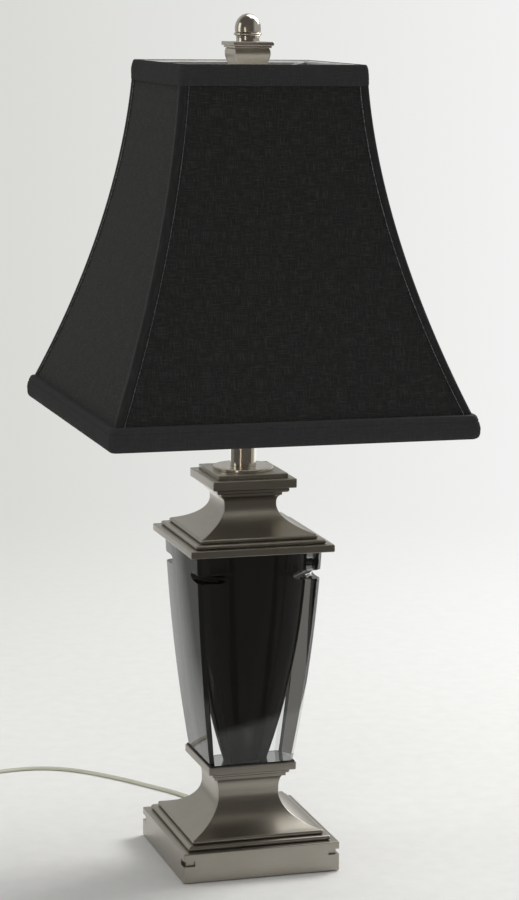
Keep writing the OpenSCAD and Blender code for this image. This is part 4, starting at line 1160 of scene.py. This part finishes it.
@dataclass
class Cap:
    """Stepped casting over the crystal, with the polished disc and neck tube on it."""

    low: float = 282.5
    slab_half: float = 63.6
    slab_top: float = 288.7
    step: float = 3.6
    step_half: tuple[float, float] = (57.8, 52.0)
    neck: float = 23.3
    neck_z: float = 319.0
    sweep: float = 60.0
    cove: tuple[float, float] = (4.0, 6.8)
    fillet: tuple[float, float] = (27.3, 330.0)
    moulding_half: float = 32.3
    moulding_top: float = 334.6
    top_half: float = 37.2
    top_z: float = 342.5
    raise_half: float = 31.2
    high: float = 346.5
    disc_radius: float = 26.0
    disc_top: float = 349.5
    tube_radius: float = 11.1
    tube_top: float = 440.0

    def profile(self) -> Array:
        """Outline of the casting from its underside to its top."""
        z1 = self.slab_top + self.step
        z2 = z1 + self.step
        return np.concatenate([
            np.array([[0.0, self.low]]), slab(self.slab_half, self.low, self.slab_top),
            nose(self.step_half[0], self.slab_top, z1), nose(self.step_half[1], z1, z2),
            hollow(self.neck, self.step_half[1] - 1, z2, self.neck_z, self.sweep),
            cove(self.neck, self.neck_z + 1.5, *self.cove, 78), np.array([self.fillet]),
            nose(self.moulding_half, self.fillet[1], self.moulding_top),
            slab(self.top_half, self.moulding_top, self.top_z),
            slab(self.raise_half, self.top_z, self.high, 0.6), np.array([[0.0, self.high]])])

    def build(self) -> None:
        """Makes the casting, the disc and the tube."""
        casting = Surface().add(SquarePlan().grid(self.profile()))
        casting.piece("cap_shell", Finishes.NICKEL, ["cap_casting"], 42)
        disc = np.concatenate([
            [[0.0, self.high]], arc((self.disc_radius - 0.4, self.high + 0.4), 0.4, -90, 0, 3),
            arc((self.disc_radius - 0.8, self.disc_top - 0.8), 0.8, 0, 90, 4), [[0.0, self.disc_top]]])
        Surface().add(lathe(disc)).piece("polished_disc", Finishes.POLISHED, ["check_ring"], 40)
        skin, foot, top = self.tube_radius, self.disc_top, self.tube_top
        wall = np.array([[skin - 1, foot], [skin - 0.2, foot], [skin, foot + 0.2], [skin, top - 0.4],
                         [skin - 0.4, top], [skin - 1, top], [skin - 1, foot]])
        Surface().add(lathe(wall)).piece("polished_tube", Finishes.POLISHED, ["neck_tube"], 40)


# Harp, socket and bulb


@dataclass
class Harp:
    """Wire loop on its saddle, with two ferrules and a threaded seat for the shade."""

    wire: float = 3.2
    leg_x: float = 28.0
    half_width: float = 52.0
    foot_z: float = 458.0
    leg_top: float = 474.3
    bow: float = 12.0
    crown: float = 42.0
    crown_z: float = 638.0
    crown_top: float = 680.0
    hub_x: float = 5.5

    def path(self) -> Array:
        """Half of the wire's line: up the leg, out and up again round two bends, over the crown."""
        side_z = self.leg_top + 2 * self.bow
        flat = np.concatenate([
            [[self.leg_x, self.foot_z], [self.leg_x, self.foot_z + 8]],
            arc((self.leg_x + self.bow, self.leg_top), self.bow, 180, 90, 12),
            arc((self.half_width - self.bow, side_z), self.bow, -90, 0, 12)[1:],
            [[self.half_width, z] for z in np.linspace(side_z, self.crown_z, 10)[1:-1]],
            arc((self.half_width - self.crown, self.crown_z), self.crown, 0, 90, 28),
            [[self.hub_x, self.crown_top]]])
        return np.stack([flat[:, 0], 0 * flat[:, 0], flat[:, 1]], axis=1)

    def build(self) -> None:
        """Makes the wire, and refines the saddle, the seat and the ferrules."""
        wire = Surface()
        for way in (1, -1):
            wire.add(*tube(self.path() * np.array([way, 1, 1]), circle(self.wire / 2), (0, 1, 0)))
        wire.piece("harp_loop", Finishes.BRASS, ["harp_feet", "harp_sides", "harp_crown"], 50)
        refine("harp_saddle", "harp_bracket", Finishes.BRASS, 0.3)
        refine("harp_seat", "harp_hub", Finishes.BRASS, 0.3)
        refine("ferrule_left", "ferrule_sleeve_left", Finishes.BRASS, 0.25, Body.FERRULE_LEFT)
        refine("ferrule_right", "ferrule_sleeve_right", Finishes.BRASS, 0.25, Body.FERRULE_RIGHT)


@dataclass
class Socket:
    """Brass lamp socket with its switch knob and the bulb in it."""

    bulb_foot: float = 478.3
    base_radius: float = 13.05
    base_top: float = 502.3
    ball_radius: float = 30.0
    ball_z: float = 556.3
    thread_pitch: float = 3.6
    thread_depth: float = 0.45

    def screw(self) -> Surface:
        """Bulb's screw base: a helical thread on a tube, r + depth cos(2 pi z / pitch - a)."""
        z = np.linspace(self.bulb_foot + 5, self.base_top, 66)
        turn = np.linspace(0, FULL, 65)
        fade = np.clip((z - z[0]) / 2, 0, 1) * np.clip((z[-1] - z) / 3, 0, 1)
        wave = fade[:, None] * np.cos(FULL * z[:, None] / self.thread_pitch - turn)
        wall = self.base_radius - self.thread_depth + self.thread_depth * wave
        foot = np.array([[0.0, 0.0], [4.2, 0.0], [4.5, 0.3], [4.5, 1.0], [8.0, 3.0], [11.5, 4.2]])
        radius = np.concatenate([foot[:, :1] + 0 * turn, wall, 0 * turn[None]])
        height = np.concatenate([self.bulb_foot + foot[:, 1], z, z[-1:]])[:, None] + 0 * turn
        return Surface().add(np.stack([radius * np.cos(turn), radius * np.sin(turn), height], axis=-1))

    def glass(self) -> Surface:
        """Bulb's glass: a neck that swells smoothly into a ball."""
        s = np.linspace(0, 1, 30)
        neck = self.base_radius - 0.4
        lower = np.stack([neck + (self.ball_radius - neck) * smooth(s),
                          self.base_top + (self.ball_z - self.base_top) * s], axis=1)
        upper = arc((0, self.ball_z), self.ball_radius, 0, 90, 22)[1:]
        return Surface().add(lathe(np.concatenate([[[0.0, self.base_top]], lower, upper])))

    def build(self) -> None:
        """Makes the bulb, and refines the socket's own pieces."""
        self.glass().piece("bulb_ball", Finishes.BULB_GLASS, ["bulb_glass"], 50, Body.BULB)
        self.screw().piece("bulb_screw", Finishes.BULB_METAL, ["bulb_base"], 60, Body.BULB)
        refine("socket_cap", "socket_cup", Finishes.BRASS, 0.25)
        refine("socket_shell", "socket_sleeve", Finishes.BRASS, 0.15)
        refine("switch_knob", "turn_knob", Finishes.PLASTIC, 0.25, Body.KNOB)
        dress(Finishes.CARD, "socket_liner")
        dress(Finishes.PLASTIC, "switch_block")
        dress(Finishes.BULB_METAL, "screw_shell")
        dress(Finishes.BRASS, "centre_contact")


# Shade


@dataclass
class Shade:
    """Square bell shade of four fabric panels with bindings, on a wire frame with a pale lining."""

    top: float = 694.3
    foot: float = 391.7
    band_z: float = 411.7
    trim_z: float = 676.8
    top_width: float = 156.8
    foot_width: float = 300.4
    straight: float = 0.16
    power: float = 1.82
    hem: float = 0.12
    fabric: float = 1.0
    foot_band: float = 6.0
    top_band: float = 2.0
    tape: float = 1.2
    tape_width: float = 7.0
    lining_in: float = 4.6
    lining_wall: float = 0.8
    ring_in: float = 2.6
    ring_wire: float = 1.5
    ring_corner: float = 2.1
    ring_z: tuple[float, float] = (691.3, 394.7)
    band_shape: tuple[tuple[float, float], ...] = (
        (0, 0.3), (0.04, 0.6), (0.2, 0.86), (0.45, 1), (0.7, 0.92), (0.745, 0.8), (0.78, 0.88), (0.96, 0.74),
        (1, 0.6))
    tape_shape: tuple[tuple[float, float], ...] = (
        (0.0, 0.05), (0.25, 0.5), (0.6, 0.78), (1.0, 0.74), (1.4, 0.42), (1.8, 0.62), (2.4, 0.9), (3.4, 1.0),
        (4.6, 1.0), (6.0, 1.0))
    fold: float = 0.9

    def half(self, z: Array) -> Array:
        """Half width of the fabric at a height: a power curve down to the band, then a straight hem."""
        t = (self.top - z) / (self.top - self.band_z)
        curve = self.straight * t + (1 - self.straight) * np.clip(t, 0, None) ** self.power
        flare = (self.top_width + (self.foot_width - self.top_width) * curve) / 2
        return np.where(t > 1, self.foot_width / 2 + self.hem * (self.band_z - z), flare)

    def slant(self, z: Array) -> Array:
        """Length down the slope from the top to each height."""
        fine = np.linspace(self.top, self.foot, 400)
        down = np.concatenate([[0.0], np.cumsum(np.hypot(np.diff(fine), np.diff(self.half(fine))))])
        return np.interp(self.top - z, self.top - fine, down)

    def panel(self, turn: int) -> Surface:
        """One panel: a thin sheet whose outer face is the fabric's and whose inner face is a wall in.

        It puckers slightly towards its sides, by a wave whose height fades away from the seam.
        """
        z = np.linspace(self.foot, self.top, 90)[:, None]
        t = np.linspace(-1, 1, 41)[None, :]
        outer = self.half(z)
        edge = (1 - np.abs(t)) * outer
        pucker = -0.35 * np.exp(-edge / 12) * (1 - np.exp(-edge / 2.5)) * (1 + np.sin(z * 0.52 + 3 * t))
        skins = [turned(np.stack([t * half, -half - lift, z + 0 * t], axis=-1), turn)
                 for half, lift in ((outer, pucker), (outer - self.fabric, 0 * pucker))]
        flat = np.stack([t * outer, self.slant(z) + 0 * t], axis=-1) * MM
        return shell(*skins, flat)

    def lining(self) -> Surface:
        """Lining: a square sheet wall inside the fabric, gently creased, up to the shade's rim."""
        z = np.linspace(self.foot + 1, self.top - 0.4, 80)
        plan = SquarePlan(corner=2.0, zone=8.0, side_steps=36)
        near = np.clip((z - (self.top - 14)) / 14, 0, 1)
        fade = np.sin(math.pi * np.linspace(0, 1, 80))[:, None]
        skins = []
        for inset in (self.lining_in, self.lining_in + self.lining_wall):
            depth = inset - (self.lining_in - self.fabric - 0.2) * near
            grid = plan.grid(np.stack([self.half(z) - depth, z], axis=1))
            steps = np.linalg.norm(np.diff(grid, axis=1, prepend=grid[:, :1]), axis=2)
            crease = ripple(np.cumsum(steps, axis=1) * 2.1, grid[..., 2] * 0.8, 0.55) * fade
            skins.append(pushed(grid, np.minimum(crease, 0.35)))
        return shell(*skins, grid_lengths(skins[0]), closed=True)

    def band(self, start: float, stop: float, full: float, round_corner: float, uneven: float) -> Surface:
        """Padded band: the bulge follows smooth shares of its full thickness over its height.

        Args:
            start: height of its free edge.
            stop: height of the edge that lies against the fabric.
            full: thickness where it is fullest.
            round_corner: radius of its outer corners.
            uneven: height of its gentle unevenness.

        Returns:
            The band. Its seam, along the free edge, doesn't quite close, because the unevenness of
            its first and of its last row differ slightly.
        """
        shape = np.array(self.band_shape)
        share = np.concatenate([np.linspace(0, 0.7, 18), np.linspace(0.7, 0.8, 7)[1:],
                                np.linspace(0.8, 1, 8)[1:]])
        bulge = np.interp(share, shape[:, 0], shape[:, 1])
        bulge[1:-1] = (bulge[:-2] + 2 * bulge[1:-1] + bulge[2:]) / 4
        z = start + (stop - start) * share
        line = self.half(np.array([start, stop]))
        face = line[0] + (line[1] - line[0]) * share
        outer = np.stack([face + full * bulge, z], axis=1)
        lip = np.array([[face[-1] + 0.3 * full * bulge[-1], stop]])
        inner = np.stack([face[[-1, 0]] - 0.3, z[[-1, 0]]], axis=1)
        loop = np.concatenate([outer, lip, inner, outer[:1]])
        corners = np.full(len(loop), round_corner)
        corners[len(outer):-1] = 0.6
        grid = SquarePlan(zone=14.0, side_steps=40, corner_steps=6).grid(loop, corner=corners)
        uv = grid_lengths(grid)
        weight = np.sin(math.pi * np.clip(share, 0.03, 0.97))
        weight = np.concatenate([weight, [0.0, 0.0, 0.0], weight[:1]])
        shift = ripple(uv[..., 0] / MM, uv[..., 1] / MM * 3, uneven) * weight[:, None]
        return Surface().add(pushed(grid, shift), uv)

    def tapes(self) -> Surface:
        """Corner bindings: a folded tape round each corner, with a lip and a sewn groove at its edges.

        Its thickness depends on the distance from its free edge; over the corner it is round. It is
        closed at its foot and open at its upper end, which the top band covers. The map has a row more
        than the points, so that the cloth's pattern is a row further along on each later corner.
        """
        z = np.linspace(self.band_z - 1.5, self.trim_z + 1.5, 90)[:, None]
        edge, thick = np.array(self.tape_shape).T
        thick = self.tape * thick
        bend = np.radians([-70, -45, -20])
        half, slant, w = self.half(z), self.slant(z), self.tape_width
        round_a = (self.fold + self.tape) * np.cos(bend) - self.fold
        round_b = (self.fold + self.tape) * np.sin(bend) + self.fold
        a = np.concatenate([edge - w, round_a, thick[::-1], [-0.35, -0.35, -w], edge[:1] - w])
        b = np.concatenate([-thick, round_b, (w - edge)[::-1], [w, 0.35, 0.35], -thick[:1]])
        across = np.concatenate([edge - w, [-0.5, 0.0, 0.5], (w - edge)[::-1], [w, 0.0, -w], edge[:1] - w])
        surface = Surface()
        for turn in range(4):
            wave = 0.06 * np.sin(z * 0.31 + turn) + 0.05 * np.sin(z * 0.73 + 2 * turn)
            x = half + a
            y = b - half
            x[:, :10] += wave
            y[:, 13:23] -= wave
            x[:, -1], y[:, -1] = x[:, 0], y[:, 0]
            grid = turned(np.stack([x, y, z + 0 * x], axis=-1), turn)
            uv = np.stack([across + 0 * x, slant + 0 * x], axis=-1) * MM
            foot = np.repeat(grid[:1].mean(axis=1, keepdims=True), grid.shape[1], axis=1)
            surface.add(np.concatenate([foot, grid]), np.concatenate([uv[:1], uv, uv[-1:]]))
        return surface

    def ring(self, z: float) -> Surface:
        """Square ring of round wire with rounded corners."""
        a, b = circle(self.ring_wire).T
        a, b = np.append(a, a[0]), np.append(b, b[0])
        loop = np.stack([self.half(np.array(z)) - self.ring_in + a, z + b], axis=1)
        return Surface().add(SquarePlan().grid(loop, corner=self.ring_corner + a))

    def build(self) -> None:
        """Makes every piece of the shade."""
        for side, height in zip(("top", "foot"), self.ring_z):
            self.ring(height).piece(f"shade_{side}_wire", Finishes.STEEL, [f"shade_{side}_ring"], 50,
                                    Body.SHADE)
        refine("shade_spider", "shade_carrier", Finishes.STEEL, 0.3, Body.SHADE)
        dress(Finishes.STEEL, "shade_ribs")
        top = self.band(self.top, self.trim_z, self.top_band, 2.6, 0.25).piece(
            "top_band", Finishes.BAND, ["shade_top_trim"], 60, Body.SHADE)
        foot = self.band(self.foot, self.band_z, self.foot_band, 4.5, 0.5).piece(
            "foot_band", Finishes.BAND, ["shade_foot_trim"], 60, Body.SHADE)
        tapes = self.tapes().piece("corner_tapes", Finishes.TAPE, ["shade_corner_trims"], 60, Body.SHADE)
        for turn, side in enumerate(("front", "right", "back", "left")):
            panel = self.panel(turn).piece(f"panel_{side}", Finishes.FABRIC, [f"fabric_{side}"], 50,
                                           Body.SHADE)
        lining = self.lining().piece("lining", Finishes.LINING, ["shade_lining"], 50, Body.SHADE)


def pushed(grid: Array, shift: Array) -> Array:
    """Grid round the axis with its points moved outwards, closed by the first column's move."""
    out = grid[..., :2] / np.maximum(np.abs(grid[..., :2]).max(axis=-1, keepdims=True), 1e-6)
    shift[:, -1] = shift[:, 0]
    return np.concatenate([grid[..., :2] + out * shift[..., None], grid[..., 2:]], axis=-1)


def turned(grid: Array, quarters: int) -> Array:
    """Grid turned about the upright axis by quarter turns: x, y become -y, x at each."""
    x, y, z = grid[..., 0], grid[..., 1], grid[..., 2]
    for _ in range(quarters):
        x, y = -y, x
    return np.stack([x, y, z], axis=-1)


def shell(outer: Array, inner: Array, uv: Array, closed: bool = False) -> Surface:
    """Thin solid between two skins of equal grids, closed along every edge.

    Args:
        outer: grid of the outer face.
        inner: grid of the inner face.
        uv: map of both faces.
        closed: whether the grid already runs all the way round.

    Returns:
        The closed surface.
    """
    surface = Surface().add(outer, uv).add(inner, uv)
    for i in (0, -1):
        surface.add(np.stack([outer[i], inner[i]]), np.stack([uv[i], uv[i]]))
        if not closed:
            surface.add(np.stack([outer[:, i], inner[:, i]]), np.stack([uv[:, i], uv[:, i]]))
    return surface


# Finial


@dataclass
class Finial:
    """Square flared cup under a turned dome."""

    foot: float = 687.2
    cup_top: float = 706.1
    flange_z: float = 708.1
    high: float = 711.3
    flange_half: float = 18.0
    bead: tuple[float, float] = (10.5, 717.4)
    dome_radius: float = 11.0
    dome_foot: float = 718.8
    dome_rise: float = 3.4
    dome_height: float = 12.4
    cup_line: tuple[tuple[float, float], ...] = (
        (11.5, 687.2), (11.8, 688.4), (12.5, 690.2), (13.9, 693.8), (15.1, 697.4), (15.75, 701.2),
        (15.45, 704.7), (14.55, 706.1))

    def cup(self) -> Surface:
        """Cup: a square plan along a smooth swelling profile, under a step and a flat flange."""
        key = np.array(self.cup_line)
        line = smooth_line(np.insert(key, 1, 0.0, axis=1), 5)[:, [0, 2]]
        profile = np.concatenate([[[0.0, self.foot]], line, slab(16.45, self.cup_top, self.flange_z, 0.4)[:6],
                                  slab(self.flange_half, self.flange_z, self.high, 0.5), [[0.0, self.high]]])
        return Surface().add(SquarePlan(corner=1.0, zone=4.0).grid(profile))

    def knob(self) -> Surface:
        """Knob: a round neck, a bead and a dome with a flattened crown."""
        turn = np.radians(np.linspace(0, 90, 24))
        profile = np.concatenate([
            [[0.0, self.high], [10.0, self.high], [9.7, self.high + 1.6], [9.9, self.high + 3.4],
             [10.0, 716.0]],
            arc(self.bead, 1.4, -90, 90, 8), [[10.1, self.dome_foot]],
            arc((self.dome_radius - 0.5, self.dome_foot + 0.7), 0.5, -60, 0, 2),
            np.stack([self.dome_radius * np.cos(turn),
                      self.dome_foot + self.dome_rise + self.dome_height * np.sin(turn)], axis=1)])
        return Surface().add(lathe(profile))

    def build(self) -> None:
        """Makes the cup and the knob."""
        self.cup().piece("finial_square", Finishes.CAST_CUP, ["finial_cup"], 40, Body.FINIAL)
        self.knob().piece("finial_dome", Finishes.POLISHED, ["finial_knob"], 40, Body.FINIAL)


def main() -> None:
    """Builds the camera, the cord, the lamp from its foot up, and the studio."""
    logging.basicConfig(level=logging.INFO, format="%(name)s: %(message)s")
    for part in (StudioCamera(), Cord(), Foot(), Crystal(), Cap(), Harp(), Socket(), Shade(), Finial(),
                 Studio()):
        part.build()
        log.info("built %s", type(part).__name__)


if __name__ == "__main__":
    main()
